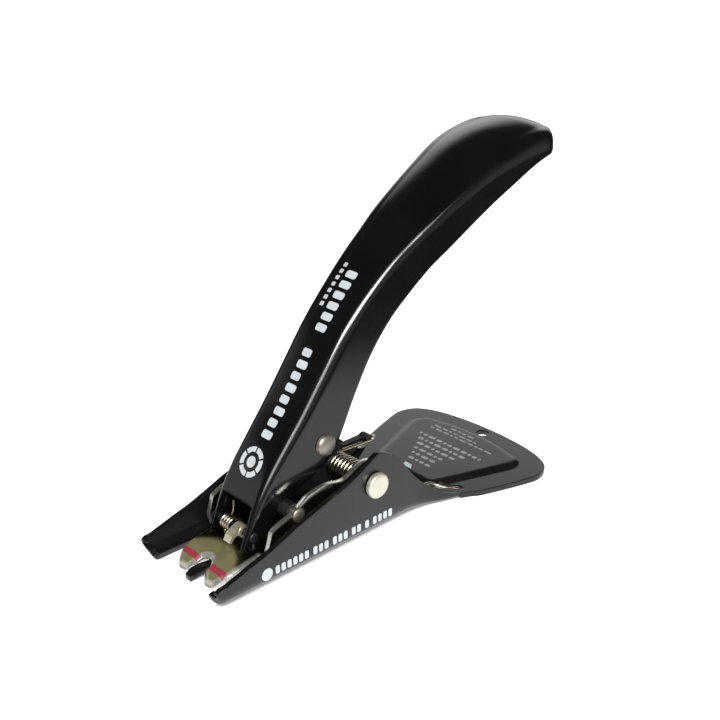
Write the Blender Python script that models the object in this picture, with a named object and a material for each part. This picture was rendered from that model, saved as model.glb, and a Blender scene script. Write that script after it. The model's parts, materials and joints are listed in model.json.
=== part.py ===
"""Lever-type staple remover: a pressed-steel foot, a forked claw and a pressed-steel
handle that turn together on one main pin, a torsion return spring, and a small
spring-loaded keeper in the nose.

Frame: +X forward to the claw, +Y to the left-hand side of the tool, +Z up. The origin is on
the table, on the centre plane, directly under the main pin. Lengths below are in
millimetres, and x is counted from a drawing datum DATUM_X behind the main pin's axis; every
mesh is moved to the origin and scaled to metres when it is placed.
"""

import math

import bmesh
import bpy
from mathutils import Matrix, Vector

# ------------------------------------------------------------------ driving dimensions
DATUM_X = 1.3                 # the main pin's x in the drawing's own numbers
PIVOT = (DATUM_X, 9.8)        # main pin, x and z
PIN_R = 1.30                  # main pin shank
HEAD_R = 2.3                  # main pin heads
HOLE_FIT = 0.05               # radial clearance in a bore
SPACER_FIT = 0.06             # radial clearance inside a spacer
WALL_GAP = 0.15               # end gap between a spacer and a side wall
PLATE_GAP = 0.12              # end gap between a spacer and the pivot plate

BASE_T = 1.0                  # foot sheet
BASE_W = 11.0                 # outer half-width of the foot's side walls
BASE_BEND = 2.6               # outer bend radius between the floor and a side wall
FLOOR_FRONT = 21.0            # front edge of the foot's floor
TONGUE_W = 2.0                # centre tongue between the claw's tines
HANG_HOLE_X = -38.5
HANG_HOLE_R = 1.3

CLAW_T = 0.9                  # claw sheet
CLAW_W = 8.6                  # outer half-width of the claw's arms
CLAW_INNER = CLAW_W - CLAW_T  # inner face of the claw's arms
CLAW_WEB_Z = 3.45             # top of the web between the arms
CLAW_BEND = 1.3               # inner bend radius between the web and an arm
CLAW_SLOT_W = 2.9             # slot between the tines
CLAW_SLOT_ROOT = 28.4         # x of the slot's rounded end
CLAW_PIN = (16.4, 9.2)        # x and z
CLAW_PIN_R = 1.0
CLAW_SPACER_R = 1.45          # outer radius of the spacers on the claw pin

HANDLE_T = 1.2                # handle sheet
HANDLE_INNER = 5.05 - HANDLE_T  # inner face of the handle's walls at its rivet
RIVET = (7.7, 17.8)           # handle rivet, x and z
RIVET_R = 1.25
PLATE_Y = (-0.85, 0.25)       # right and left faces of the pivot plate

SPRING_R = 1.96               # return spring, mean radius of the coil
SPRING_WIRE_R = 0.37
SPRING_Y = (0.95, 7.05)       # the coil's ends
SPRING_TURNS = 7.25
SPRING_AXIS = (DATUM_X, 9.95)  # the coil hangs a little off the pin's centre
COIL_STEPS = 16               # path points per turn of a coil

NOSE_PIN = (23.05, 6.1)       # x and z
NOSE_PIN_R = 0.6

SEGMENTS = 28                 # segments of a full circle

# ------------------------------------------------------------------ finishes
FOOT_BLACK = dict(colour=(0.018, 0.018, 0.02), roughness=0.28, metallic=0.0)
HANDLE_BLACK = dict(colour=(0.010, 0.010, 0.012), roughness=0.12, metallic=0.0)
PLATE_BLACK = dict(colour=(0.015, 0.015, 0.017), roughness=0.35, metallic=0.0)
MAIN_PIN_STEEL = dict(colour=(0.80, 0.78, 0.72), roughness=0.30, metallic=1.0)
CLAW_STEEL = dict(colour=(0.55, 0.53, 0.38), roughness=0.33, metallic=1.0)
SPACER_STEEL = dict(colour=(0.5, 0.5, 0.5), roughness=0.4, metallic=1.0)
RIVET_STEEL = dict(colour=(0.62, 0.60, 0.57), roughness=0.25, metallic=1.0)
CLAW_PIN_STEEL = dict(colour=(0.75, 0.73, 0.68), roughness=0.25, metallic=1.0)
SPRING_STEEL = dict(colour=(0.70, 0.64, 0.50), roughness=0.25, metallic=1.0)
NOSE_PIN_STEEL = dict(colour=(0.10, 0.10, 0.11), roughness=0.35, metallic=1.0)
KEEPER_STEEL = dict(colour=(0.80, 0.78, 0.70), roughness=0.2, metallic=1.0)
KEEPER_SPRING_STEEL = dict(colour=(0.75, 0.72, 0.64), roughness=0.22, metallic=1.0)


# ------------------------------------------------------------------ curve helpers
def lerp(start, end, share):
    return start + (end - start) * share


def table(rows, x):
    """Piecewise linear value of rows [(x, value), ...] with x rising."""
    if x <= rows[0][0]:
        return rows[0][1]
    for (x0, value0), (x1, value1) in zip(rows, rows[1:]):
        if x <= x1:
            return lerp(value0, value1, (x - x0) / (x1 - x0))
    return rows[-1][1]


def smooth_path(points, steps, closed=False):
    """Catmull-Rom curve through the points, with the given steps between neighbours."""
    def beyond(last, previous):
        return tuple(2 * a - b for a, b in zip(last, previous))

    if closed:
        padded = [points[-1]] + points + points[:2]
    else:
        padded = ([beyond(points[0], points[1])] + points
                  + [beyond(points[-1], points[-2])])
    path = []
    for i in range(len(padded) - 3):
        for k in range(steps):
            t = k / steps
            path.append(tuple(
                0.5 * (2 * b + (c - a) * t + (2 * a - 5 * b + 4 * c - d) * t * t
                       + (3 * b - a - 3 * c + d) * t ** 3)
                for a, b, c, d in zip(*padded[i:i + 4])))
    if not closed:
        path.append(tuple(points[-1]))
    return path


def arc(centre, radius, start, end, steps):
    """Points on an arc in degrees, both ends included."""
    angles = [math.radians(lerp(start, end, k / steps)) for k in range(steps + 1)]
    return [(centre[0] + radius * math.cos(angle), centre[1] + radius * math.sin(angle))
            for angle in angles]


def circle(centre, radius, segments):
    angles = [2 * math.pi * k / segments for k in range(segments)]
    return [(centre[0] + radius * math.cos(angle), centre[1] + radius * math.sin(angle))
            for angle in angles]


def both_sides(half):
    """Closed plan outline from its left half, given front to back or back to front."""
    return half + [(x, -y) for x, y in half[::-1]]


def hull_of_discs(discs):
    """Convex outline round discs [(centre, radius, steps over 345 degrees), ...]."""
    points = []
    for centre, radius, steps in discs:
        points += arc(centre, radius, 0, 345, steps)
    points = sorted(set((round(x, 6), round(z, 6)) for x, z in points))

    def chain(sequence):
        kept = []
        for point in sequence:
            while len(kept) > 1:
                (x0, z0), (x1, z1) = kept[-2:]
                if (x1 - x0) * (point[1] - z0) - (z1 - z0) * (point[0] - x0) > 1e-9:
                    break
                kept.pop()
            kept.append(point)
        return kept[:-1]
    return chain(points) + chain(points[::-1])


def coil(centre, radius, y_range, turns, start):
    """Helix about a line parallel to Y. start: angle in degrees at the first y."""
    count = int(turns * COIL_STEPS)
    path = []
    for k in range(count + 1):
        angle = math.radians(start) + 2 * math.pi * turns * k / count
        path.append((centre[0] + radius * math.cos(angle), lerp(*y_range, k / count),
                     centre[1] + radius * math.sin(angle)))
    return path


# ------------------------------------------------------------------ mesh helpers
def mesh_object(name, verts, faces):
    """Closed, triangulated object with its normals outward."""
    mesh = bpy.data.meshes.new(name)
    mesh.from_pydata([tuple(vert) for vert in verts], [], faces)
    edit = bmesh.new()
    edit.from_mesh(mesh)
    bmesh.ops.remove_doubles(edit, verts=edit.verts, dist=1e-5)
    bmesh.ops.recalc_face_normals(edit, faces=edit.faces)
    if edit.calc_volume(signed=True) < 0:
        bmesh.ops.reverse_faces(edit, faces=edit.faces)
    bmesh.ops.triangulate(edit, faces=[face for face in edit.faces if len(face.verts) != 3])
    edit.to_mesh(mesh)
    edit.free()
    made = bpy.data.objects.new(name, mesh)
    bpy.context.scene.collection.objects.link(made)
    return made


def loft(name, rings):
    """Closed body through rings of equal length, capped at both ends."""
    size = len(rings[0])
    verts = [point for ring in rings for point in ring]
    faces = []
    for i in range(len(rings) - 1):
        for k in range(size):
            here, after = i * size + k, i * size + (k + 1) % size
            faces.append([here, after, after + size, here + size])
    faces.append(list(range(size))[::-1])
    faces.append([(len(rings) - 1) * size + k for k in range(size)])
    return mesh_object(name, verts, faces)


def prism(name, outline, start, end, axis="z"):
    """Closed prism: an x-y outline swept along z, or an x-z outline swept along y."""
    def put(point, level):
        if axis == "z":
            return (point[0], point[1], level)
        return (point[0], level, point[1])
    size = len(outline)
    verts = [put(point, level) for level in (start, end) for point in outline]
    faces = [list(range(size))[::-1], [size + k for k in range(size)]]
    faces += [[k, (k + 1) % size, size + (k + 1) % size, size + k] for k in range(size)]
    return mesh_object(name, verts, faces)


def turned(name, profile, centre, segments=SEGMENTS):
    """Body of revolution about a line parallel to Y. profile: [(y, radius), ...]; a radius of
    zero closes the end."""
    verts, faces, rows = [], [], []
    for y, radius in profile:
        points = [centre] if radius <= 1e-9 else circle(centre, radius, segments)
        rows.append(list(range(len(verts), len(verts) + len(points))))
        verts += [(x, y, z) for x, z in points]
    for row, following in zip(rows, rows[1:]):
        for k in range(segments):
            j = (k + 1) % segments
            if len(row) == 1:
                faces.append([row[0], following[j], following[k]])
            elif len(following) == 1:
                faces.append([row[k], row[j], following[0]])
            else:
                faces.append([row[k], row[j], following[j], following[k]])
    return mesh_object(name, verts, faces)


def mirrored(half_profile):
    """Whole turned profile from its left half, listed outward."""
    return [(-y, radius) for y, radius in half_profile[::-1]] + half_profile


def tube(name, y0, y1, bore_r, outer_r, centre, segments):
    """Plain spacer tube along Y; its profile closes on itself."""
    profile = [(y0, bore_r), (y0, outer_r), (y1, outer_r), (y1, bore_r), (y0, bore_r)]
    return turned(name, profile, centre, segments)


def wire(name, path, radius, segments):
    """Round wire along a 3-D path, with flat ends."""
    points = [Vector(point) for point in path]
    last = len(points) - 1
    rings, normal = [], None
    for i, point in enumerate(points):
        tangent = (points[min(i + 1, last)] - points[max(i - 1, 0)]).normalized()
        if normal is None:
            normal = Vector((0, 1, 0)) if abs(tangent.y) < 0.9 else Vector((1, 0, 0))
        normal = (normal - tangent * normal.dot(tangent)).normalized()
        side = tangent.cross(normal)
        rings.append([tuple(point + u * normal + v * side)
                      for u, v in circle((0, 0), radius, segments)])
    return loft(name, rings)


def combine(target, tool, operation):
    """Applies an exact Boolean to target and removes the tool."""
    modifier = target.modifiers.new("cut", "BOOLEAN")
    modifier.operation = operation
    modifier.solver = "EXACT"
    modifier.object = tool
    graph = bpy.context.evaluated_depsgraph_get()
    graph.update()
    result = bpy.data.meshes.new_from_object(target.evaluated_get(graph))
    target.modifiers.remove(modifier)
    edit = bmesh.new()
    edit.from_mesh(result)
    bmesh.ops.remove_doubles(edit, verts=edit.verts, dist=0.002)
    bmesh.ops.dissolve_degenerate(edit, edges=edit.edges, dist=0.002)
    bmesh.ops.triangulate(edit, faces=[face for face in edit.faces if len(face.verts) != 3])
    edit.to_mesh(result)
    edit.free()
    old = target.data
    target.data = result
    bpy.data.meshes.remove(old)
    bpy.data.objects.remove(tool, do_unlink=True)


def bore(target, centre, radius):
    """Drills right through the tool along Y."""
    drill = turned("bore", mirrored([(30.0, radius), (30.0, 0)]), centre)
    combine(target, drill, "DIFFERENCE")


def material(name, colour, roughness, metallic):
    made = bpy.data.materials.new(name)
    made.use_nodes = True
    inputs = made.node_tree.nodes["Principled BSDF"].inputs
    inputs["Base Color"].default_value = (*colour, 1.0)
    inputs["Roughness"].default_value = roughness
    inputs["Metallic"].default_value = metallic
    return made


def place(piece, finish, parent=None, sharp_angle=35):
    """Cleans the mesh, scales it to metres, gives it a material and hangs it on its parent."""
    mesh = piece.data
    edit = bmesh.new()
    edit.from_mesh(mesh)
    bmesh.ops.remove_doubles(edit, verts=edit.verts, dist=0.0005)
    bmesh.ops.dissolve_degenerate(edit, edges=edit.edges, dist=0.0005)
    bmesh.ops.triangulate(edit, faces=[face for face in edit.faces if len(face.verts) > 4])
    edit.to_mesh(mesh)
    edit.free()
    mesh.transform(Matrix.Translation((-DATUM_X, 0, 0)))
    mesh.transform(Matrix.Scale(0.001, 4))
    if parent is not None:
        mesh.transform(Matrix.Translation(-parent.location))
        piece.parent = parent
    mesh.shade_smooth()
    mesh.set_sharp_from_angle(angle=math.radians(sharp_angle))
    # The finish has to be the only slot, whatever the Booleans leave.
    mesh.materials.clear()
    mesh.materials.append(material(piece.name + "_finish", **finish))


def pivot_empty(name, centre):
    empty = bpy.data.objects.new(name, None)
    empty.location = ((centre[0] - DATUM_X) * 0.001, 0.0, centre[1] * 0.001)
    bpy.context.scene.collection.objects.link(empty)
    return empty


# ================================================================== foot (base_frame)
# Full-width part of a side wall, from the toe back: x, top z, bottom z
WALL_FRONT = [
    (34.7, 3.4, 2.4), (34.4, 3.75, 1.45), (33.9, 3.95, 0.55), (33.3, 4.0, 0.08),
    (32.6, 4.1, 0.0), (31.8, 4.35, 0.0), (30.3, 4.75, 0.0), (28.5, 5.3, 0.0),
    (26.6, 5.8, 0.0), (24.4, 6.4, 0.0), (22.2, 7.2, 0.0), (20.0, 8.0, 0.0),
    (17.5, 8.95, 0.0), (13.6, 10.15, 0.0), (9.2, 11.4, 0.0), (7.0, 12.1, 0.0),
    (4.7, 13.1, 0.0), (2.4, 14.35, 0.0), (1.0, 15.1, 0.0), (0.0, 15.3, 0.0),
    (-1.3, 14.9, 0.0), (-3.4, 13.5, 0.0), (-5.5, 11.2, 0.0),
]
# The whole wall, to where it runs out on the floor:
# x, top z, bottom z, outer half-width, outer bend radius
WALL = [row + (BASE_W, BASE_BEND) for row in WALL_FRONT] + [
    (-7.6, 8.3, 0.0, BASE_W, 2.5), (-9.8, 5.9, 0.0, 11.1, 2.1), (-12.1, 3.8, 0.0, 11.4, 1.6),
    (-14.2, 2.3, 0.0, 12.0, 1.2), (-16.2, 1.4, 0.0, 12.7, 1.06), (-17.8, 1.02, 0.0, 13.2, 1.01),
]
WALL_CHAMFER = 0.28           # on both top edges of a side wall

# Left half of the floor's outline behind its straight front part: x, y
FLOOR_HALF = [
    (0.0, 8.6), (-5.0, 8.8), (-8.1, 9.3), (-10.1, 9.9), (-12.2, 10.7), (-14.0, 11.6),
    (-15.8, 12.5), (-17.8, 13.2), (-19.6, 14.1), (-21.2, 15.1), (-25.0, 16.5),
    (-29.0, 17.8), (-32.4, 18.7), (-34.4, 18.6), (-36.3, 17.8), (-37.5, 16.6),
    (-38.4, 15.0), (-39.3, 12.5), (-40.1, 8.4), (-40.6, 3.0),
]
# Left half of the raised panel's outline: x, y
PANEL_HALF = [
    (-15.7, 6.3), (-16.0, 7.2), (-16.8, 8.0), (-24.0, 10.7), (-30.6, 13.0), (-32.6, 13.4),
    (-34.2, 12.7), (-35.1, 11.0), (-36.0, 7.0), (-36.5, 2.6),
]
PANEL_CENTRE_X = -27.0        # the panel's sides draw in towards this point

# Centre line of the tongue in side view: x, z
TONGUE = [(19.5, 0.5), (23.0, 0.5), (26.5, 0.58), (28.5, 0.75), (30.2, 0.98), (31.8, 0.85),
          (33.0, 0.45)]
TONGUE_TIP_X = 32.2           # the tongue is narrower from here on
TONGUE_TIP_SHARE = 0.72

SPRING_SLOT_CENTRE = (-18.15, 10.15)
SPRING_SLOT_ALONG = (-0.603, 0.798)  # direction of the slot in plan
SPRING_SLOT_REACH = 1.9       # from the slot's centre to the centre of a rounded end
SPRING_SLOT_R = 0.75


def wall_rings(side):
    """J-shaped sections: a wall, its bend, and a lip that overlaps the floor's edge."""
    rings = []
    for x, top, bottom, width, bend in smooth_path(WALL, 2):
        bend = max(bend, BASE_T + 0.01)
        top = max(top, bend + 0.01)
        shoulder = max(top - WALL_CHAMFER, bend + 0.004)
        centre = (width - bend, bend)
        section = arc(centre, bend, -90, 0, 4)
        section += [(width, shoulder), (width - WALL_CHAMFER, top),
                    (width - BASE_T + WALL_CHAMFER, top), (width - BASE_T, shoulder)]
        section += arc(centre, bend - BASE_T, 0, -90, 4)
        squeeze = (top - max(bottom, 0.0)) / top
        rings.append([(x, side * y, top - (top - z) * squeeze) for y, z in section])
    return rings


def panel_ring(inset, level):
    points = []
    for x, y in both_sides(smooth_path(PANEL_HALF, 2)):
        distance = math.hypot(x - PANEL_CENTRE_X, y)
        points.append((x - inset * (x - PANEL_CENTRE_X) / distance,
                       y - inset * y / distance, level))
    return points


def tongue_rings():
    rings = []
    for x, z in smooth_path(TONGUE, 3):
        share = (x - TONGUE[0][0]) / (TONGUE[-1][0] - TONGUE[0][0])
        half_width = TONGUE_W / 2 * (1.0 if x < TONGUE_TIP_X else TONGUE_TIP_SHARE)
        half_t = lerp(BASE_T / 2, 0.45, share)
        rings.append([(x, -half_width, z - half_t), (x, half_width, z - half_t),
                      (x, half_width, z + half_t), (x, -half_width, z + half_t)])
    return rings


def spring_slot_outline():
    along_x, along_y = SPRING_SLOT_ALONG
    points = []
    for reach, start in ((-SPRING_SLOT_REACH, 90), (SPRING_SLOT_REACH, -90)):
        for u, v in arc((0, 0), SPRING_SLOT_R, start, start + 180, 5):
            u += reach
            points.append((SPRING_SLOT_CENTRE[0] + u * along_x - v * along_y,
                           SPRING_SLOT_CENTRE[1] + u * along_y + v * along_x))
    return points


def build_foot():
    floor_half = [(FLOOR_FRONT, FLOOR_HALF[0][1])] + smooth_path(FLOOR_HALF, 2)
    foot = prism("base_frame", both_sides(floor_half), 0.0, BASE_T)
    # Raised panel: drafted sides, hollow underneath like a pressing.
    panel = loft("panel", [panel_ring(0.0, BASE_T - 0.5), panel_ring(0.0, BASE_T),
                           panel_ring(0.9, BASE_T + 0.85)])
    combine(foot, panel, "UNION")
    hollow = loft("panel_hollow", [panel_ring(0.75, -0.5), panel_ring(0.75, 0.05),
                                   panel_ring(1.6, 0.85)])
    combine(foot, hollow, "DIFFERENCE")
    for side in (1, -1):
        combine(foot, loft("wall", wall_rings(side)), "UNION")
    # Centre tongue: rises a little from the floor and comes down to the table at its tip.
    combine(foot, loft("tongue", tongue_rings()), "UNION")
    bore(foot, PIVOT, PIN_R + HOLE_FIT - 0.01)
    hang_hole = circle((HANG_HOLE_X, 0.0), HANG_HOLE_R, 20)
    combine(foot, prism("hang", hang_hole, -2, 4), "DIFFERENCE")
    # Slot that takes the return spring's lower leg.
    combine(foot, prism("spring_slot", spring_slot_outline(), -2, 4), "DIFFERENCE")
    place(foot, FOOT_BLACK)


# ================================================================== main pin
def build_main_pin():
    seat = BASE_W + 0.2       # inner face of each head
    profile = [
        (-12.2, 0), (-12.2, 1.5), (-12.0, HEAD_R - 0.2), (-11.7, HEAD_R), (-seat, HEAD_R),
        (-seat, PIN_R), (seat, PIN_R), (seat, HEAD_R), (12.1, HEAD_R), (12.3, HEAD_R - 0.2),
        (12.3, 0),
    ]
    place(turned("main_pin", profile, PIVOT), MAIN_PIN_STEEL)


# ================================================================== claw fork
# Flat front part with ground edges: x, top z, half-width
CLAW_FLAT = [
    (31.75, 0.45, 5.4), (31.35, 0.95, 5.7), (30.75, 1.52, 6.0), (30.0, 2.05, 6.3),
    (28.9, 2.5, 6.45), (27.4, 2.9, 6.5), (25.6, 3.2, 6.55), (24.2, 3.38, 6.55),
    (23.2, CLAW_WEB_Z, 6.55),
]
# Channel behind it, with an upright arm on each side: x, arm top z
CLAW_ARMS = [
    (22.9, 5.0), (22.2, 6.7), (21.7, 8.0), (20.6, 8.6), (17.2, 9.7), (15.5, 10.7),
    (14.0, 11.6), (9.5, 12.2), (7.6, 11.7), (5.9, 11.6), (3.6, 12.6), (1.3, 13.3),
    (-0.6, 12.9), (-1.9, 11.5), (-2.3, 9.8),
]
# Sheet thickness of the flat part, thinned towards the tips: x, thickness
FLAT_T = [(29.5, CLAW_T), (30.75, 0.7), (31.75, 0.28)]
# Side outline of the cut under and behind the web: x, z
WEB_END_CUT = [
    (9.6, -1), (9.6, 3.9), (8.4, 5.3), (6.0, 5.9), (3.4, 6.0), (1.3, 6.3), (-0.6, 6.8),
    (-1.9, 8.1), (-2.5, 9.7), (-6, 9.7), (-6, -1),
]
TINE_Y = 3.45                 # middle of a tine's rounded end
TINE_HALF_W = 2.15
TINE_TIP_X = 31.9
TINE_ROUND = 1.9              # how far the rounded end falls back at the tine's sides


def claw_ring(x, outer, inner):
    """Closed section from the left half's outer and inner (y, z) points."""
    ring = [(x, y, z) for y, z in outer] + [(x, -y, z) for y, z in outer[::-1]]
    return ring + [(x, -y, z) for y, z in inner] + [(x, y, z) for y, z in inner[::-1]]


def flat_ring(x, top, width):
    """Ground edge: a shallow bevel on top and a small rounding at the lower corner."""
    thickness = table(FLAT_T, x)
    scale = thickness / CLAW_T
    outer = [(width - inset, top - drop * scale) for inset, drop in
             ((0, 0.55), (0, 0.65), (0.05, 0.75), (0.12, 0.85))]
    outer.append((width - 0.3, top - thickness))
    inner = [(width - inset, top - drop * scale) for inset, drop in
             ((0.04, 0.48), (0.35, 0.32), (0.65, 0.17), (0.9, 0.06), (1.1, 0))]
    return claw_ring(x, outer, inner)


def arm_ring(x, arm_top):
    outer_bend = CLAW_BEND + CLAW_T
    centre = (CLAW_W - outer_bend, CLAW_WEB_Z + CLAW_BEND)
    outer = [(CLAW_W, arm_top)] + arc(centre, outer_bend, 0, -90, 3)
    inner = [(CLAW_INNER, arm_top)] + arc(centre, CLAW_BEND, 0, -90, 3)
    return claw_ring(x, outer, inner)


def tine_outline():
    """Plan of the claw: rounded tines and the slot between them."""
    slot_half = CLAW_SLOT_W / 2
    sines = [math.sin(math.radians(angle)) for angle in range(90, -76, -15)]
    left = [(-6, 10), (27.6, 10), (28.9, 7.2), (29.7, 6.2)]
    left += [(TINE_TIP_X - TINE_ROUND * abs(sine) ** 2.2, TINE_Y + TINE_HALF_W * sine)
             for sine in sines]
    left.append((29.9, slot_half))
    root = arc((CLAW_SLOT_ROOT + slot_half, 0), slot_half, 105, 255, 10)
    return left + root + [(x, -y) for x, y in left[::-1]]


def build_claw():
    rings = [flat_ring(*row) for row in CLAW_FLAT] + [arm_ring(*row) for row in CLAW_ARMS]
    claw = loft("claw_fork", rings)
    # No web behind the claw pin: the two arms run on alone to the main pin.
    combine(claw, prism("web_end", WEB_END_CUT, -10, 10, "y"), "DIFFERENCE")
    web_back = [(10.2, 2.0), (10.2, 14), (-8, 14), (-8, 2)]
    combine(claw, prism("web_back", web_back, -7.1, 7.1, "y"), "DIFFERENCE")
    combine(claw, prism("tine_plan", tine_outline(), -3, 20), "INTERSECT")
    bore(claw, PIVOT, PIN_R + HOLE_FIT)
    bore(claw, CLAW_PIN, CLAW_PIN_R + HOLE_FIT)
    place(claw, CLAW_STEEL, LEVER)


# ================================================================== handle shell
# Spine of the handle from the nose up and back:
# x, z, outer half-width, wall depth, corner radius, crown
SPINE_ROWS = [
    (25.4, 3.95, 5.10, 2.3, 0.9, 0.0), (23.8, 7.40, 5.10, 3.3, 0.9, 0.0),
    (22.2, 10.9, 5.10, 4.7, 0.9, 0.0), (19.9, 14.9, 5.05, 6.7, 0.9, 0.05),
    (17.5, 18.2, 5.05, 8.6, 0.9, 0.1), (15.0, 21.2, 5.05, 10.0, 0.9, 0.1),
    (12.5, 24.2, 5.05, 9.8, 0.9, 0.1), (8.0, 30.1, 5.10, 8.5, 0.9, 0.15),
    (3.3, 36.2, 5.15, 7.7, 1.0, 0.2), (-1.6, 41.7, 5.35, 7.5, 1.0, 0.5),
    (-6.7, 46.4, 5.80, 7.6, 1.1, 0.7), (-11.2, 49.8, 6.40, 7.4, 1.3, 0.9),
    (-15.1, 52.5, 7.10, 7.4, 1.6, 1.0), (-20.4, 55.8, 7.75, 7.3, 2.0, 1.2),
    (-25.9, 58.9, 8.40, 7.0, 2.6, 1.3), (-31.0, 61.4, 9.15, 6.6, 3.0, 1.35),
    (-36.2, 63.15, 9.60, 5.9, 3.3, 1.35), (-41.6, 64.1, 9.80, 5.2, 3.4, 1.3),
    (-45.0, 64.1, 9.80, 5.2, 3.4, 1.3), (-47.8, 63.5, 9.80, 5.2, 3.4, 1.3),
    (-50.0, 62.5, 9.80, 5.2, 3.4, 1.3), (-51.2, 61.8, 9.80, 5.2, 3.4, 1.3),
]
SPINE_STEPS = 12              # curve steps between two rows
OPENING_ROW = 2               # the front face is open from this row down to the nose
MAIN_ROW = 17                 # the rounded end is a fan turned about this row
FAN_STEPS = 12
# Outward flare of the rims: arc length along the spine, flare
HANDLE_FLARE = [(0, 0.0), (8, 0.0), (18, 0.5), (110, 0.5)]


class Spine:
    """The handle's top line as a curve measured by arc length from the nose."""

    def __init__(self, rows):
        self.points = smooth_path(rows, SPINE_STEPS)
        self.lengths = [0.0]
        for here, after in zip(self.points, self.points[1:]):
            step = math.hypot(after[0] - here[0], after[1] - here[1])
            self.lengths.append(self.lengths[-1] + step)

    def at(self, length):
        """Row values and the outward normal (x, z) at an arc length."""
        points, lengths = self.points, self.lengths
        length = min(max(length, 0.0), lengths[-1])
        i = 0
        while i < len(lengths) - 2 and lengths[i + 1] < length:
            i += 1
        share = (length - lengths[i]) / (lengths[i + 1] - lengths[i])
        values = tuple(lerp(u, v, share) for u, v in zip(points[i], points[i + 1]))
        before, after = points[max(i - 2, 0)], points[min(i + 3, len(points) - 1)]
        along_x, along_z = after[0] - before[0], after[1] - before[1]
        size = math.hypot(along_x, along_z)
        return values, (along_z / size, -along_x / size)

    def put(self, length, y, drop):
        """Point at an arc length, y to the side and drop below the top line."""
        (x, z, *_), (normal_x, normal_z) = self.at(length)
        return (x - drop * normal_x, y, z - drop * normal_z)


def half_section(width, depth, radius, crown, inset, flare):
    """Half of the channel's section from the middle of its top to the rim: (y, drop) points.
    inset is 0 for the outer skin and the sheet thickness for the inner one."""
    width -= inset
    radius = max(radius - inset, 0.12)
    flat = width - radius
    corner = inset + crown
    points = [(0.0, inset), (0.35 * flat, inset + crown * 0.12),
              (0.7 * flat, inset + crown * 0.5), (flat, corner)]
    for k in (1, 2, 3, 4):
        angle = math.radians(22.5 * k)
        points.append((flat + radius * math.sin(angle),
                       corner + radius * (1 - math.cos(angle))))
    wall_top = corner + radius
    rim = max(depth, wall_top + 0.4)
    points += [(width + 0.5 * flare, lerp(wall_top, rim, 0.5)), (width + flare, rim)]
    return points


def handle_rows(spine, main_length, inset):
    """Cross rows of one skin, each from the left rim over the top to the right rim."""
    stations = []
    length = 0.0
    while length < main_length - 0.5:
        stations.append(length)
        length += 1.6 if length < 24 else 3.0
    stations.append(main_length)
    rows = []
    for length in stations:
        section = spine.at(length)[0][2:]
        half = half_section(*section, inset, table(HANDLE_FLARE, length))
        rows.append([spine.put(length, y, drop) for y, drop in half[::-1]]
                    + [spine.put(length, -y, drop) for y, drop in half[1:]])
    return rows


def handle_fan(spine, main_length, inset):
    """Spokes of the rounded end, left to right, each from the middle of the top to the rim."""
    width, depth, radius, crown = spine.at(main_length)[0][2:]
    stretch = spine.lengths[-1] - main_length
    flare = table(HANDLE_FLARE, main_length)
    fan = []
    for k in range(1, FAN_STEPS):
        angle = math.pi / 2 - math.pi * k / FAN_STEPS
        share = math.cos(angle)
        half = half_section(width, lerp(depth, 2.9, share), lerp(radius, 1.9, share),
                            crown * (1 - 0.6 * share), inset, flare)
        fan.append([spine.put(main_length + y * share * stretch / width,
                              y * math.sin(angle), drop) for y, drop in half])
    return fan


def handle_mesh(spine):
    """Outer and inner skin, joined round the rim."""
    main_length = spine.lengths[MAIN_ROW * SPINE_STEPS]
    verts, index, faces, rims = [], {}, [], []

    def vert_ids(points):
        ids = []
        for point in points:
            key = tuple(round(value, 5) for value in point)
            if key not in index:
                index[key] = len(verts)
                verts.append(key)
            ids.append(index[key])
        return ids

    for inset in (0.0, HANDLE_T):
        rows = [vert_ids(row) for row in handle_rows(spine, main_length, inset)]
        middle = len(rows[0]) // 2
        for row, after in zip(rows, rows[1:]):
            faces += [[row[k], row[k + 1], after[k + 1], after[k]] for k in range(2 * middle)]
        fan = [vert_ids(spoke) for spoke in handle_fan(spine, main_length, inset)]
        spokes = [rows[-1][:middle + 1][::-1]] + fan + [rows[-1][middle:]]
        for spoke, after in zip(spokes, spokes[1:]):
            faces.append([spoke[0], spoke[1], after[1]])
            faces += [[spoke[k], spoke[k + 1], after[k + 1], after[k]]
                      for k in range(1, middle)]
        rims.append([row[0] for row in rows] + [spoke[-1] for spoke in fan]
                    + [row[-1] for row in rows[::-1]] + rows[0][1:-1][::-1])
    outer, inner = rims
    for k in range(len(outer)):
        j = (k + 1) % len(outer)
        faces.append([outer[k], outer[j], inner[j], inner[k]])
    return mesh_object("handle_shell", verts, faces)


def build_handle():
    spine = Spine(SPINE_ROWS)
    shell = handle_mesh(spine)
    # The front face stops above the nose; the walls go on as two prongs.
    x, z, width = SPINE_ROWS[OPENING_ROW][:3]
    normal_x, normal_z = spine.at(spine.lengths[OPENING_ROW * SPINE_STEPS])[1]
    # Corners as (out along the normal, down towards the nose).
    opening = [(x + out * normal_x + down * normal_z, z + out * normal_z - down * normal_x)
               for out, down in ((4, 0), (-9, 0), (-9, 14), (4, 14))]
    half_gap = width - HANDLE_T
    combine(shell, prism("nose_opening", opening, -half_gap, half_gap, "y"), "DIFFERENCE")
    prong_ends = [(30, -2), (30, 3.75), (15, 3.75), (15, -2)]
    combine(shell, prism("prong_ends", prong_ends, -9, 9, "y"), "DIFFERENCE")
    bore(shell, RIVET, RIVET_R + HOLE_FIT)
    bore(shell, NOSE_PIN, NOSE_PIN_R + HOLE_FIT)
    # A notch in the walls' rear edges clears the claw pin's spacers.
    bore(shell, CLAW_PIN, CLAW_SPACER_R + 0.15)
    place(shell, HANDLE_BLACK, LEVER)


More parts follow.
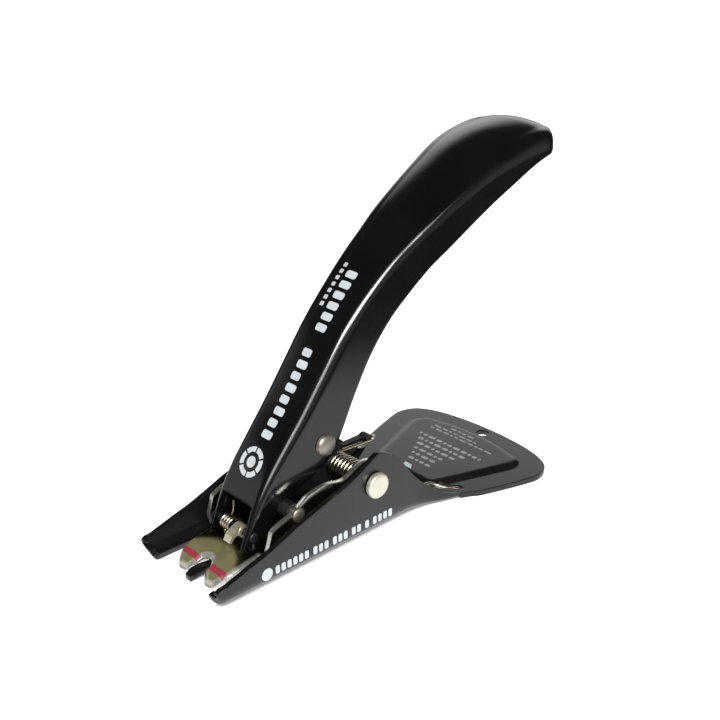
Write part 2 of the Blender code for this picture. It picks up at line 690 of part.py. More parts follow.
# ================================================================== pivot plate
# Closed side outline of the tab at the tail's rear end: x, z
TAIL_TAB = [(-7.2, 12.3), (-6.95, 12.6), (-6.4, 12.7), (-5.85, 12.6), (-5.6, 12.3),
            (-5.85, 12.05), (-6.4, 11.98), (-6.95, 12.05)]


def build_pivot_plate():
    right, left = PLATE_Y
    outline = hull_of_discs([(PIVOT, 3.4, 23), (RIVET, 2.9, 23), (CLAW_PIN, 2.4, 23)])
    plate = prism("pivot_plate", outline, right, left, "y")
    tail = hull_of_discs([((0.6, 10.4), 1.9, 23), ((-6.5, 11.9), 0.45, 15)])
    # The tail is a hair thinner, so that its faces are not flush with the plate's.
    combine(plate, prism("tail", tail, right + 0.002, left - 0.002, "y"), "UNION")
    tab = smooth_path(TAIL_TAB, 3, closed=True)
    combine(plate, prism("tail_tab", tab, right + 0.1, 1.35, "y"), "UNION")
    bore(plate, PIVOT, PIN_R + HOLE_FIT)
    bore(plate, RIVET, RIVET_R + HOLE_FIT)
    bore(plate, CLAW_PIN, CLAW_PIN_R + HOLE_FIT)
    place(plate, PLATE_BLACK, LEVER)


# ================================================================== pins of the lever
# Left halves of the turned profiles, listed outward: y, radius
RIVET_HALF = [(5.7, RIVET_R), (5.7, 2.05), (6.0, 2.02), (6.45, 1.7), (6.75, 1.15), (6.9, 0.55),
              (6.93, 0)]
CLAW_PIN_HALF = [(8.72, CLAW_PIN_R), (8.72, 1.25), (9.1, 1.05), (9.25, 0.7), (9.25, 0)]
NOSE_PIN_HALF = [(5.17, NOSE_PIN_R), (5.17, 0.85), (5.3, 0.85), (5.45, 0.7), (5.45, 0)]


def build_lever_pins():
    for name, half, centre, segments, finish in (
            ("handle_rivet", RIVET_HALF, RIVET, SEGMENTS, RIVET_STEEL),
            ("claw_pin", CLAW_PIN_HALF, CLAW_PIN, 20, CLAW_PIN_STEEL),
            ("nose_pin", NOSE_PIN_HALF, NOSE_PIN, 18, NOSE_PIN_STEEL)):
        place(turned(name, mirrored(half), centre, segments), finish, LEVER)


def build_spacers():
    """Tubes that fill the pins between the pivot plate and the side walls."""
    right, left = PLATE_Y
    pivot_spacer = tube("pivot_spacer", -CLAW_INNER + WALL_GAP, right - 0.15,
                        PIN_R + SPACER_FIT, 2.2, PIVOT, SEGMENTS)
    place(pivot_spacer, SPACER_STEEL, LEVER)
    for name, wall, pin_r, outer_r, centre, segments in (
            ("rivet_spacer", HANDLE_INNER, RIVET_R, 1.9, RIVET, SEGMENTS),
            ("claw_spacer", CLAW_INNER, CLAW_PIN_R, CLAW_SPACER_R, CLAW_PIN, 20)):
        for side, y0, y1 in (("_left", left + PLATE_GAP, wall - WALL_GAP),
                             ("_right", -wall + WALL_GAP, right - PLATE_GAP)):
            spacer = tube(name + side, y0, y1, pin_r + SPACER_FIT, outer_r, centre, segments)
            place(spacer, SPACER_STEEL, LEVER)


# ================================================================== return spring
# Upper leg, from its hooked rear end to the coil: x, z
UPPER_LEG = [(-7.65, 12.6), (-7.62, 12.0), (-7.45, 11.6), (-7.0, 11.45), (-4.0, 11.62),
             (-0.6, 11.82)]
# Lower leg, from the coil to the slot in the foot: x, y, z
LOWER_LEG = [(-2.0, SPRING_Y[1], 7.4), (-6.5, 7.2, 4.9), (-11.5, 7.1, 2.3), (-14.6, 7.3, 1.5),
             (-16.3, 8.0, 1.42), (-17.9, 9.8, 1.40), (-18.9, 11.1, 1.1), (-19.15, 11.45, 0.5)]


def build_return_spring():
    upper = [(x, SPRING_Y[0], z) for x, z in UPPER_LEG]
    turns = coil(SPRING_AXIS, SPRING_R, SPRING_Y, SPRING_TURNS, 90)
    lower = smooth_path([turns[-1]] + LOWER_LEG, 3)[1:]
    spring = wire("return_spring", upper + turns + lower, SPRING_WIRE_R, 7)
    place(spring, SPRING_STEEL, sharp_angle=60)


# ================================================================== keeper and its spring
# Side outline of the keeper's arm, from the nose pin's centre: x, z
KEEPER_ARM = [(0.2, 1.06), (1.4, 0.8), (2.5, 0.05), (3.1, -1.0), (2.7, -1.25), (2.0, -0.45),
              (1.2, -0.2), (0.6, -0.8)]
KEEPER_HUB_R = 1.1
KEEPER_SPRING_R = 1.2         # mean radius of the coil
KEEPER_WIRE_R = 0.22


def build_keeper():
    pin_x, pin_z = NOSE_PIN
    hub = hull_of_discs([(NOSE_PIN, KEEPER_HUB_R, 23)])
    keeper = prism("staple_keeper", hub, 0.7, 2.7, "y")
    arm = [(pin_x + x, pin_z + z) for x, z in KEEPER_ARM]
    combine(keeper, prism("keeper_arm", arm, 0.85, 2.55, "y"), "UNION")
    bore(keeper, NOSE_PIN, NOSE_PIN_R + HOLE_FIT)
    place(keeper, KEEPER_STEEL, KEEPER)


def build_keeper_spring():
    turns = coil(NOSE_PIN, KEEPER_SPRING_R, (-2.6, 0.1), 4.25, 200)
    start, end = turns[0], turns[-1]
    right_leg = [(start[0] - 1.1, -3.05, start[2] + 3.1), (start[0] - 0.7, -2.8, start[2] + 1.6)]
    left_leg = [(end[0] + 1.3, 0.28, end[2] + 0.1), (NOSE_PIN[0] + 2.4, 0.42, NOSE_PIN[1] + 0.6)]
    spring = wire("keeper_spring", right_leg + turns + left_leg, KEEPER_WIRE_R, 6)
    place(spring, KEEPER_SPRING_STEEL, LEVER, sharp_angle=60)


# ================================================================== assembly
for leftover in list(bpy.data.objects):
    bpy.data.objects.remove(leftover, do_unlink=True)

LEVER = pivot_empty("lever_axis", PIVOT)
KEEPER = pivot_empty("keeper_axis", NOSE_PIN)

build_foot()
build_main_pin()
build_claw()
build_handle()
build_pivot_plate()
build_lever_pins()
build_spacers()
build_return_spring()
build_keeper()
build_keeper_spring()
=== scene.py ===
"""Looks of a lever-type staple remover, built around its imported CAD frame.

The tool lies along X: a sheet-metal foot on the table, a claw at the front and a long handle
that rises to the back. Shape numbers are millimetres in the frame's own axes: +X to the claw,
+Y to the tool's left, +Z up, the main pin over the origin. Meshes are written in metres.

Measured tables give x from the drawing's zero, which lies PIN_X behind the main pin.
"""
from contextlib import contextmanager
import json
import math

import bmesh
import bpy
import numpy as np
from mathutils import Matrix, Vector
from mathutils.geometry import delaunay_2d_cdt

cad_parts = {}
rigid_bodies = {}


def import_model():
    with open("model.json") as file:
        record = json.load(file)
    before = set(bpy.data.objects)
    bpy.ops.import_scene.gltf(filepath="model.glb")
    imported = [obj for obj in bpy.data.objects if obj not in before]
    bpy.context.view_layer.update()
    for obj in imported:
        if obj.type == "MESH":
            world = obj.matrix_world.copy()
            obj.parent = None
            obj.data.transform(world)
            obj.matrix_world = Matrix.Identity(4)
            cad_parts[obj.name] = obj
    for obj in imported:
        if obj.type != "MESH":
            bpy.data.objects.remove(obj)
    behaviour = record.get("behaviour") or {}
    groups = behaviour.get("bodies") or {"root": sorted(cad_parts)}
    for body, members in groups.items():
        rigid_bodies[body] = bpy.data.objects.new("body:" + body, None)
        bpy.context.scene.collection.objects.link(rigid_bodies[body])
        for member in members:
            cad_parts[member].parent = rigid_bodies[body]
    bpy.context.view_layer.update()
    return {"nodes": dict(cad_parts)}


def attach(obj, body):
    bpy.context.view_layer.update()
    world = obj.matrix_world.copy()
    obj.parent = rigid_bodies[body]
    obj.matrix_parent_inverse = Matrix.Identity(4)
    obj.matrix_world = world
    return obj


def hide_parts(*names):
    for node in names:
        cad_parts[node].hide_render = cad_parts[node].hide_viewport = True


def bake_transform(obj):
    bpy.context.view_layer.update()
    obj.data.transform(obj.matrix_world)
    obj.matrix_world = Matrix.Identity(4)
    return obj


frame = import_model()
for old in list(bpy.data.objects):
    if old.type in ("CAMERA", "LIGHT"):
        bpy.data.objects.remove(old)

MM = 0.001
PIN_X = 1.3                   # the main pin's x in the drawing

# cross pins, (x, z) in the frame
MAIN_PIN = (0.0, 9.8)
RIVET = (7.7 - PIN_X, 17.8)
CLAW_PIN = (16.4 - PIN_X, 9.2)
NOSE_PIN = (23.05 - PIN_X, 6.1)

# sheet thicknesses
FOOT_T, CLAW_T, HANDLE_T = 1.0, 0.9, 1.2


# ------------------------------------------------------------------ curves and outlines
def lerp(start, end, t):
    return start + (end - start) * t


def smoothstep(low, high, x):
    t = min(max((x - low) / (high - low), 0.0), 1.0)
    return t * t * (3 - 2 * t)


def table(rows, x):
    """Linear look-up in (x, value) rows that run either way; held constant past the ends."""
    if rows[0][0] > rows[-1][0]:
        rows = rows[::-1]
    if x <= rows[0][0]:
        return rows[0][1]
    for (x0, value0), (x1, value1) in zip(rows, rows[1:]):
        if x <= x1:
            return lerp(value0, value1, (x - x0) / (x1 - x0))
    return rows[-1][1]


def smooth_path(points, steps):
    """Catmull-Rom curve through points of any dimension, with steps pieces per span."""
    path = []
    last = len(points) - 1
    for i in range(last):
        p1, p2 = points[i], points[i + 1]
        p0 = points[i - 1] if i > 0 else tuple(2 * a - b for a, b in zip(p1, p2))
        p3 = points[i + 2] if i + 1 < last else tuple(2 * b - a for a, b in zip(p1, p2))
        for k in range(steps):
            t = k / steps
            path.append(tuple(
                0.5 * (2 * b + (c - a) * t + (2 * a - 5 * b + 4 * c - d) * t * t
                       + (3 * b - a - 3 * c + d) * t ** 3)
                for a, b, c, d in zip(p0, p1, p2, p3)))
    path.append(tuple(points[-1]))
    return path


def arc(centre_x, centre_y, radius, start, end, steps):
    """Points on a circle from angle start to end, in degrees."""
    angles = [math.radians(lerp(start, end, k / steps)) for k in range(steps + 1)]
    return [(centre_x + radius * math.cos(q), centre_y + radius * math.sin(q)) for q in angles]


def signed_distance(outline, points):
    """Distance from points to a closed polygon, positive inside."""
    outline = np.asarray(outline, float)
    points = np.asarray(points, float)
    px, py = points[:, 0], points[:, 1]
    best = np.full(len(points), 1e9)
    inside = np.zeros(len(points), bool)
    for (ax, ay), (bx, by) in zip(outline, np.roll(outline, -1, 0)):
        dx, dy = bx - ax, by - ay
        t = np.clip(((px - ax) * dx + (py - ay) * dy) / (dx * dx + dy * dy + 1e-12), 0, 1)
        best = np.minimum(best, np.hypot(px - ax - t * dx, py - ay - t * dy))
        crossing_x = (bx - ax) * (py - ay) / (by - ay + 1e-12) + ax
        inside ^= ((ay > py) != (by > py)) & (px < crossing_x)
    return np.where(inside, best, -best)


def subdivide(outline, step):
    """Closed outline with extra points, so that no side is much longer than step."""
    dense = []
    for (ax, ay), (bx, by) in zip(outline, outline[1:] + outline[:1]):
        pieces = max(1, int(math.hypot(bx - ax, by - ay) / step))
        dense += [(lerp(ax, bx, j / pieces), lerp(ay, by, j / pieces)) for j in range(pieces)]
    return dense


def grid_inside(outline, step, margin, offset=0.0):
    """Square grid points that lie more than margin inside the outline."""
    xs, ys = zip(*outline)
    grid_x, grid_y = np.meshgrid(np.arange(min(xs) + offset, max(xs), step),
                                 np.arange(min(ys) + offset, max(ys), step))
    grid = np.stack([grid_x.ravel(), grid_y.ravel()], 1)
    return [tuple(p) for p, d in zip(grid, signed_distance(outline, grid)) if d > margin]


def triangulate(outline, inner, epsilon):
    """Triangles over a closed outline and the points inside it: (points, triangles)."""
    count = len(outline)
    points = [Vector(p) for p in outline + inner]
    rim = [(i, (i + 1) % count) for i in range(count)]
    result = delaunay_2d_cdt(points, rim, [], 1, epsilon)
    return [tuple(p) for p in result[0]], [list(tri) for tri in result[2]]


def two_layer_faces(triangles, count, base=0):
    """Closes a sheet whose upper points start at base and lower ones count later."""
    faces, edges = [], {}
    for tri in triangles:
        faces += [[base + i for i in tri], [base + count + i for i in tri[::-1]]]
        for a, b in zip(tri, tri[1:] + tri[:1]):
            edges[(a, b)] = True
    for a, b in edges:
        if (b, a) not in edges:
            faces.append([base + b, base + a, base + a + count, base + b + count])
    return faces


def loft_faces(rows, columns, closed=True):
    """Quads between rows of points stored one after another."""
    return [[i * columns + k, i * columns + (k + 1) % columns,
             (i + 1) * columns + (k + 1) % columns, (i + 1) * columns + k]
            for i in range(rows - 1) for k in range(columns if closed else columns - 1)]


# ------------------------------------------------------------------ meshes
class Welder:
    """Point list that gives points equal to some decimals the same index."""

    def __init__(self, digits):
        self.digits, self.points, self.index = digits, [], {}

    def add(self, point):
        key = tuple(round(c, self.digits) for c in point)
        if key not in self.index:
            self.index[key] = len(self.points)
            self.points.append(key)
        return self.index[key]


@contextmanager
def editing(mesh):
    """Opens a mesh as a BMesh and writes it back."""
    edit = bmesh.new()
    edit.from_mesh(mesh)
    yield edit
    edit.to_mesh(mesh)
    edit.free()


def mm_object(name, verts, faces, merge=1e-4):
    """Mesh object from millimetre points, written in metres."""
    mesh = bpy.data.meshes.new(name)
    mesh.from_pydata(verts, [], faces)
    with editing(mesh) as edit:
        bmesh.ops.remove_doubles(edit, verts=edit.verts, dist=merge)
        bmesh.ops.dissolve_degenerate(edit, edges=edit.edges, dist=merge)
        loose = [v for v in edit.verts if not v.link_faces]
        bmesh.ops.delete(edit, geom=loose, context="VERTS")
        bmesh.ops.recalc_face_normals(edit, faces=edit.faces)
        closed = all(e.is_manifold for e in edit.edges)
        if closed and edit.calc_volume(signed=True) < 0:
            bmesh.ops.reverse_faces(edit, faces=edit.faces)
        bmesh.ops.scale(edit, vec=(MM, MM, MM), verts=edit.verts)
    obj = bpy.data.objects.new(name, mesh)
    bpy.context.scene.collection.objects.link(obj)
    return obj


def turn_skin(obj, direction):
    """Turns an open skin so that its faces look mostly along direction."""
    direction = Vector(direction)
    with editing(obj.data) as edit:
        if sum(f.normal.dot(direction) * f.calc_area() for f in edit.faces) < 0:
            bmesh.ops.reverse_faces(edit, faces=edit.faces)


def apply_modifiers(obj):
    graph = bpy.context.evaluated_depsgraph_get()
    graph.update()
    done = bpy.data.meshes.new_from_object(obj.evaluated_get(graph))
    obj.modifiers.clear()
    before = obj.data
    obj.data = done
    bpy.data.meshes.remove(before)


def combine(obj, tool, operation):
    """Boolean that uses up the tool. A solver can lose the body: then the next one is tried."""
    keep = obj.data.copy()
    for solver, nudge in (("EXACT", 0.0), ("MANIFOLD", 0.0), ("EXACT", 7e-6), ("FLOAT", 0.0)):
        tool.location = (nudge, 0.0, nudge)
        mod = obj.modifiers.new("cut", "BOOLEAN")
        mod.operation = operation
        mod.solver = solver
        mod.object = tool
        apply_modifiers(obj)
        if len(obj.data.vertices) > 0.7 * len(keep.vertices):
            break
        obj.data = keep.copy()
    bpy.data.objects.remove(tool, do_unlink=True)
    with editing(obj.data) as edit:
        bmesh.ops.remove_doubles(edit, verts=edit.verts, dist=2e-7)
        bmesh.ops.dissolve_degenerate(edit, edges=edit.edges, dist=2e-7)


def drill(obj, centre, radius):
    """Bore along Y right through the tool."""
    profile = [(-20, 0), (-20, radius), (20, radius), (20, 0)]
    combine(obj, turned("bore", profile, centre, segments=48), "DIFFERENCE")


def bevel(obj, width, segments, angle):
    mod = obj.modifiers.new("bevel", "BEVEL")
    mod.width = width * MM
    mod.segments = segments
    mod.limit_method = "ANGLE"
    mod.angle_limit = math.radians(angle)
    mod.use_clamp_overlap = True
    apply_modifiers(obj)


def solidify(obj, thickness):
    """Thickens a skin away from the side its faces look to."""
    mod = obj.modifiers.new("sheet", "SOLIDIFY")
    mod.thickness = thickness * MM
    mod.offset = -1.0
    mod.use_even_offset = True
    mod.use_quality_normals = True
    apply_modifiers(obj)


def shade(obj, angle):
    obj.data.shade_smooth()
    obj.data.set_sharp_from_angle(angle=math.radians(angle))


def coat(obj, material):
    obj.data.materials.clear()
    obj.data.materials.append(material)


def points_mm(obj):
    return np.array([v.co for v in obj.data.vertices]) * 1000


def point_attribute(obj, name, values):
    attribute = obj.data.attributes.new(name, "FLOAT", "POINT")
    attribute.data.foreach_set("value", values.astype(np.float32))


def prism(name, outline, bottom, top):
    """Upright solid over an (x, y) outline."""
    count = len(outline)
    verts = [(x, y, bottom) for x, y in outline] + [(x, y, top) for x, y in outline]
    faces = [list(range(count))[::-1], [count + k for k in range(count)]]
    faces += [[k, (k + 1) % count, count + (k + 1) % count, count + k] for k in range(count)]
    obj = mm_object(name, verts, faces)
    with editing(obj.data) as edit:
        bmesh.ops.triangulate(edit, faces=[f for f in edit.faces if len(f.verts) > 4])
    return obj


def turned(name, profile, centre, segments):
    """Solid turned about a Y axis through centre (x, z), from (y, radius) rows."""
    centre_x, centre_z = centre
    verts, faces, rings = [], [], []
    for y, radius in profile:
        if radius <= 1e-9:
            rings.append([len(verts)])
            verts.append((centre_x, y, centre_z))
            continue
        rings.append(list(range(len(verts), len(verts) + segments)))
        for k in range(segments):
            turn = 2 * math.pi * k / segments
            verts.append((centre_x + radius * math.cos(turn), y,
                          centre_z + radius * math.sin(turn)))
    for a, b in zip(rings, rings[1:]):
        for k in range(segments):
            j = (k + 1) % segments
            if len(a) == 1:
                faces.append([a[0], b[j], b[k]])
            elif len(b) == 1:
                faces.append([a[k], a[j], b[0]])
            else:
                faces.append([a[k], a[j], b[j], b[k]])
    return mm_object(name, verts, faces)


def wire(name, path, radius, segments):
    """Round wire along a path, its section carried along without twist."""
    points = [Vector(p) for p in path]
    count = len(points)
    verts, normal = [], None
    for i, point in enumerate(points):
        along = (points[min(i + 1, count - 1)] - points[max(i - 1, 0)]).normalized()
        if normal is None:
            normal = Vector((0, 1, 0)) if abs(along.y) < 0.9 else Vector((1, 0, 0))
        normal = (normal - along * normal.dot(along)).normalized()
        side = along.cross(normal)
        for k in range(segments):
            turn = 2 * math.pi * k / segments
            verts.append(tuple(point + radius * (math.cos(turn) * normal
                                                 + math.sin(turn) * side)))
    faces = loft_faces(count, segments)
    faces += [list(range(segments))[::-1], [(count - 1) * segments + k for k in range(segments)]]
    return mm_object(name, verts, faces, 1e-5)


# ------------------------------------------------------------------ shader graphs
def tint(colour, factor):
    return tuple(c * factor for c in colour)


class Graph:
    """Small node-graph writer. A value is a number, a colour or another node's output."""

    def __init__(self, tree):
        self.tree = tree

    def feed(self, socket, value):
        if isinstance(value, bpy.types.NodeSocket):
            self.tree.links.new(value, socket)
        elif socket.type == "RGBA":
            socket.default_value = (*value, 1.0)
        else:
            socket.default_value = value

    def node(self, kind, inputs=None, **settings):
        node = self.tree.nodes.new(kind)
        for key, value in settings.items():
            setattr(node, key, value)
        for key, value in (inputs or {}).items():
            self.feed(node.inputs[key], value)
        return node

    def maths(self, operation, a, b=None, clamp=False):
        inputs = {0: a} if b is None else {0: a, 1: b}
        return self.node("ShaderNodeMath", inputs, operation=operation,
                         use_clamp=clamp).outputs[0]

    def times(self, a, b, clamp=False):
        return self.maths("MULTIPLY", a, b, clamp)

    def plus(self, a, b):
        return self.maths("ADD", a, b)

    def minus(self, a, b):
        return self.maths("SUBTRACT", a, b)

    def remap(self, value, source=(0.0, 1.0), target=(0.0, 1.0), smooth=False):
        """Maps the source range to the target range and clamps."""
        inputs = {"Value": value, "From Min": source[0], "From Max": source[1],
                  "To Min": target[0], "To Max": target[1]}
        kind = "SMOOTHSTEP" if smooth else "LINEAR"
        return self.node("ShaderNodeMapRange", inputs, interpolation_type=kind).outputs["Result"]


class Mat(Graph):
    """Graph of a material around its Principled shader."""

    def __init__(self, name):
        self.mat = bpy.data.materials.new(name)
        self.mat.use_nodes = True
        super().__init__(self.mat.node_tree)
        self.shader = self.tree.nodes["Principled BSDF"]
        self.coords = None

    def set(self, name, value):
        self.feed(self.shader.inputs[name], value)

    def noise(self, scale, detail=4.0, rough=0.5, stretch=None):
        if self.coords is None:
            self.coords = self.node("ShaderNodeTexCoord").outputs["Object"]
        source = self.coords
        if stretch:
            mapping = self.node("ShaderNodeMapping", {"Vector": source, "Scale": stretch})
            source = mapping.outputs["Vector"]
        return self.node("ShaderNodeTexNoise", {"Scale": scale, "Detail": detail,
                                                "Roughness": rough, "Vector": source}
                         ).outputs["Fac"]

    def ramp(self, value, *stops):
        """Colour ramp; each stop is (position, colour or grey)."""
        node = self.node("ShaderNodeValToRGB", {"Fac": value})
        while len(node.color_ramp.elements) < len(stops):
            node.color_ramp.elements.new(0.5)
        for element, (position, colour) in zip(node.color_ramp.elements, stops):
            element.position = position
            rgb = colour if isinstance(colour, tuple) else (colour,) * 3
            element.color = (*rgb, 1.0)
        return node.outputs["Color"]

    def mix(self, factor, a, b):
        # sockets 0, 6 and 7 are the colour mix's factor, A and B
        return self.node("ShaderNodeMix", {0: factor, 6: a, 7: b}, data_type="RGBA").outputs[2]

    def attribute(self, name):
        return self.node("ShaderNodeAttribute", attribute_name=name).outputs["Fac"]

    def edge(self, radius):
        """1 on sharp edges: the angle between the bevelled and the true normal."""
        rounded = self.node("ShaderNodeBevel", {"Radius": radius}, samples=4)
        true = self.node("ShaderNodeNewGeometry")
        dot = self.node("ShaderNodeVectorMath",
                        {0: rounded.outputs["Normal"], 1: true.outputs["Normal"]},
                        operation="DOT_PRODUCT")
        return self.remap(self.minus(1.0, dot.outputs["Value"]), source=(0.02, 0.25))

    def bump(self, height, strength, distance):
        node = self.node("ShaderNodeBump", {"Strength": strength, "Distance": distance,
                                            "Height": height})
        self.set("Normal", node.outputs["Normal"])


# ------------------------------------------------------------------ materials
def paint(name, colour, rough, wear, peel, inner_mask=None):
    """Gloss paint on pressed steel: faint orange peel, dust specks, thin edge wear."""
    specular, clear_coat = 0.5, 0.25
    m = Mat(name)
    cloud = m.noise(scale=90, detail=5)
    tone = m.ramp(cloud, (0.3, tint(colour, 0.8)), (0.7, tint(colour, 1.25)))
    patches = m.ramp(m.noise(scale=900, detail=5, rough=0.7), (0.50, 0.0), (0.68, 1.0))
    worn = m.times(m.times(m.edge(radius=0.00012), patches), wear, clamp=True)
    specks = m.ramp(m.noise(scale=5200, detail=2), (0.745, 0.0), (0.775, 1.0))
    dust = m.times(specks, 0.16)
    dusty = m.mix(dust, tone, (0.16, 0.16, 0.16))
    m.set("Base Color", m.mix(worn, dusty, (0.30, 0.30, 0.30)))
    gloss = m.remap(cloud, target=(rough * 0.8, rough * 1.3))
    m.set("Roughness", m.plus(gloss, m.times(dust, 1.5)))
    m.set("Metallic", m.times(worn, 0.8))
    if inner_mask:
        # the sheet's inner side carries a thinner, matt coat
        open_side = m.minus(1.0, m.attribute(inner_mask))
        m.set("Specular IOR Level",
              m.plus(m.times(open_side, specular * 0.85), specular * 0.15))
        m.set("Coat Weight", m.times(open_side, clear_coat))
    else:
        m.set("Specular IOR Level", specular)
        m.set("Coat Weight", clear_coat)
    m.set("Coat Roughness", rough * 0.5)
    relief = m.mix(0.35, m.noise(scale=650, detail=2), m.noise(scale=1400, detail=3))
    m.bump(relief, strength=peel, distance=0.00003)
    return m.mat


def plated(name, light, dark, rough, scratch=(1, 1, 1), stain=0.5, bump=0.15,
           edge_colour=(0.85, 0.84, 0.80), metal=1.0):
    """Plated steel: colour clouds, fine scratches, darker stains and bright edges."""
    m = Mat(name)
    cloud = m.noise(scale=260, detail=5, rough=0.6)
    lines = m.noise(scale=1500, detail=4, rough=0.7, stretch=scratch)
    tone = m.ramp(cloud, (0.32, dark), (0.66, light))
    spots = m.ramp(m.noise(scale=700, detail=4, rough=0.65), (0.58, 0.0), (0.72, 1.0))
    colour = m.mix(m.times(spots, stain * 0.5), tone, tint(dark, 0.45))
    colour = m.mix(m.times(lines, 0.25), colour, light)
    bright = m.times(m.edge(radius=0.0001), 0.7, clamp=True)
    m.set("Base Color", m.mix(bright, colour, edge_colour))
    m.set("Metallic", metal)
    m.set("Roughness", m.remap(lines, target=(rough * 0.7, rough * 1.5)))
    m.bump(lines, strength=bump, distance=0.00002)
    return m.mat


def oxide(name, colour, rough):
    """Blackened steel, a little brighter on its edges."""
    m = Mat(name)
    cloud = m.noise(scale=300, detail=5)
    tone = m.ramp(cloud, (0.3, tint(colour, 0.6)), (0.7, tint(colour, 1.6)))
    bright = m.times(m.edge(radius=0.00012), m.noise(scale=1200, detail=4))
    m.set("Base Color", m.mix(bright, tone, (0.28, 0.28, 0.27)))
    m.set("Metallic", 0.6)
    m.set("Roughness", m.ramp(cloud, (0.2, rough * 0.8), (0.8, rough * 1.3)))
    m.bump(m.noise(scale=2200, detail=3), strength=0.2, distance=0.00002)
    return m.mat


def ink(name, colour):
    """Printed ink with soft changes of tone and gloss."""
    rough = 0.45
    m = Mat(name)
    cloud = m.noise(scale=500, detail=4)
    m.set("Base Color", m.ramp(cloud, (0.25, tint(colour, 0.82)), (0.7, colour)))
    grain = m.noise(scale=1800, detail=3)
    m.set("Roughness", m.ramp(grain, (0.3, rough * 0.8), (0.7, rough * 1.2)))
    m.bump(m.noise(scale=2600, detail=3), strength=0.15, distance=0.00001)
    return m.mat


def claw_material():
    """Yellow-passivated zinc, bright where the edges are ground, a red mark on each tine,
    painted shade further back.
    """
    m = Mat("claw_passivated_zinc")
    cloud = m.noise(scale=240, detail=5, rough=0.6)
    lines = m.noise(scale=1500, detail=4, rough=0.7, stretch=(1, 8, 1))
    olive = m.ramp(cloud, (0.25, (0.155, 0.138, 0.062)), (0.50, (0.225, 0.205, 0.098)),
                   (0.75, (0.29, 0.26, 0.135)))
    # painted shade: a dark colour for the claw behind its free front, where the handle's nose
    # shades it
    painted_shade_colour = m.ramp(cloud, (0.3, (0.030, 0.027, 0.016)), (0.7, (0.062, 0.056, 0.036)))
    steel = m.ramp(cloud, (0.3, (0.62, 0.61, 0.56)), (0.7, (0.84, 0.83, 0.77)))
    # this mask is 1 on the matt olive front and 0 where the colour is darkened as painted shade
    front = m.attribute("matt_unshaded_front")
    ground = m.attribute("ground")
    # noise makes the red mark's outline ragged
    fray = m.times(m.minus(m.noise(scale=1500, detail=4), 0.5), 0.7)
    mark = m.ramp(m.plus(m.attribute("red_mark"), fray), (0.42, 0.0), (0.58, 1.0))
    colour = m.mix(ground, m.mix(front, painted_shade_colour, olive), steel)
    colour = m.mix(m.times(mark, 0.92), colour, (0.24, 0.012, 0.036))
    bright = m.times(m.edge(radius=0.0001), 0.6, clamp=True)
    m.set("Base Color", m.mix(bright, colour, (0.80, 0.79, 0.74)))
    # the matt front is less metallic, its ground edges nearly fully so
    dulling = m.times(front, m.minus(0.52, m.times(ground, 0.4)))
    m.set("Metallic", m.times(m.minus(1.0, mark), m.minus(0.94, dulling)))
    m.set("Roughness", m.plus(m.remap(lines, target=(0.20, 0.38)), m.times(mark, 0.12)))
    m.bump(lines, strength=0.18, distance=0.00003)
    return m.mat


HANDLE_PAINT = paint("handle_gloss_black", colour=(0.003, 0.003, 0.0035), rough=0.14,
                     wear=0.30, peel=0.08)
FOOT_PAINT = paint("foot_gloss_black", colour=(0.0055, 0.0055, 0.006), rough=0.24,
                   wear=0.40, peel=0.12, inner_mask="matt_inside")
NICKEL = plated("nickel_plate", light=(0.76, 0.72, 0.62), dark=(0.66, 0.62, 0.52), rough=0.36,
                scratch=(1, 6, 1), stain=0.12, bump=0.08, metal=0.7)
RIVET_STEEL = plated("rivet_nickel", light=(0.44, 0.40, 0.35), dark=(0.27, 0.245, 0.21),
                     rough=0.38, stain=0.35, edge_colour=(0.55, 0.52, 0.47), metal=0.9)
WIRE_STEEL = plated("spring_wire", light=(0.78, 0.72, 0.58), dark=(0.44, 0.39, 0.28),
                    rough=0.20, bump=0.08)
KEEPER_STEEL = plated("keeper_nickel", light=(0.84, 0.79, 0.63), dark=(0.62, 0.56, 0.40),
                      rough=0.32, stain=0.4, metal=0.78)
BLACK_OXIDE = oxide("black_oxide", colour=(0.02, 0.02, 0.022), rough=0.42)
SPACER_STEEL = oxide("spacer_oxide", colour=(0.03, 0.03, 0.03), rough=0.5)
WHITE_INK = ink("white_print", colour=(0.46, 0.49, 0.51))
GREY_INK = ink("grey_print", colour=(0.25, 0.25, 0.255))


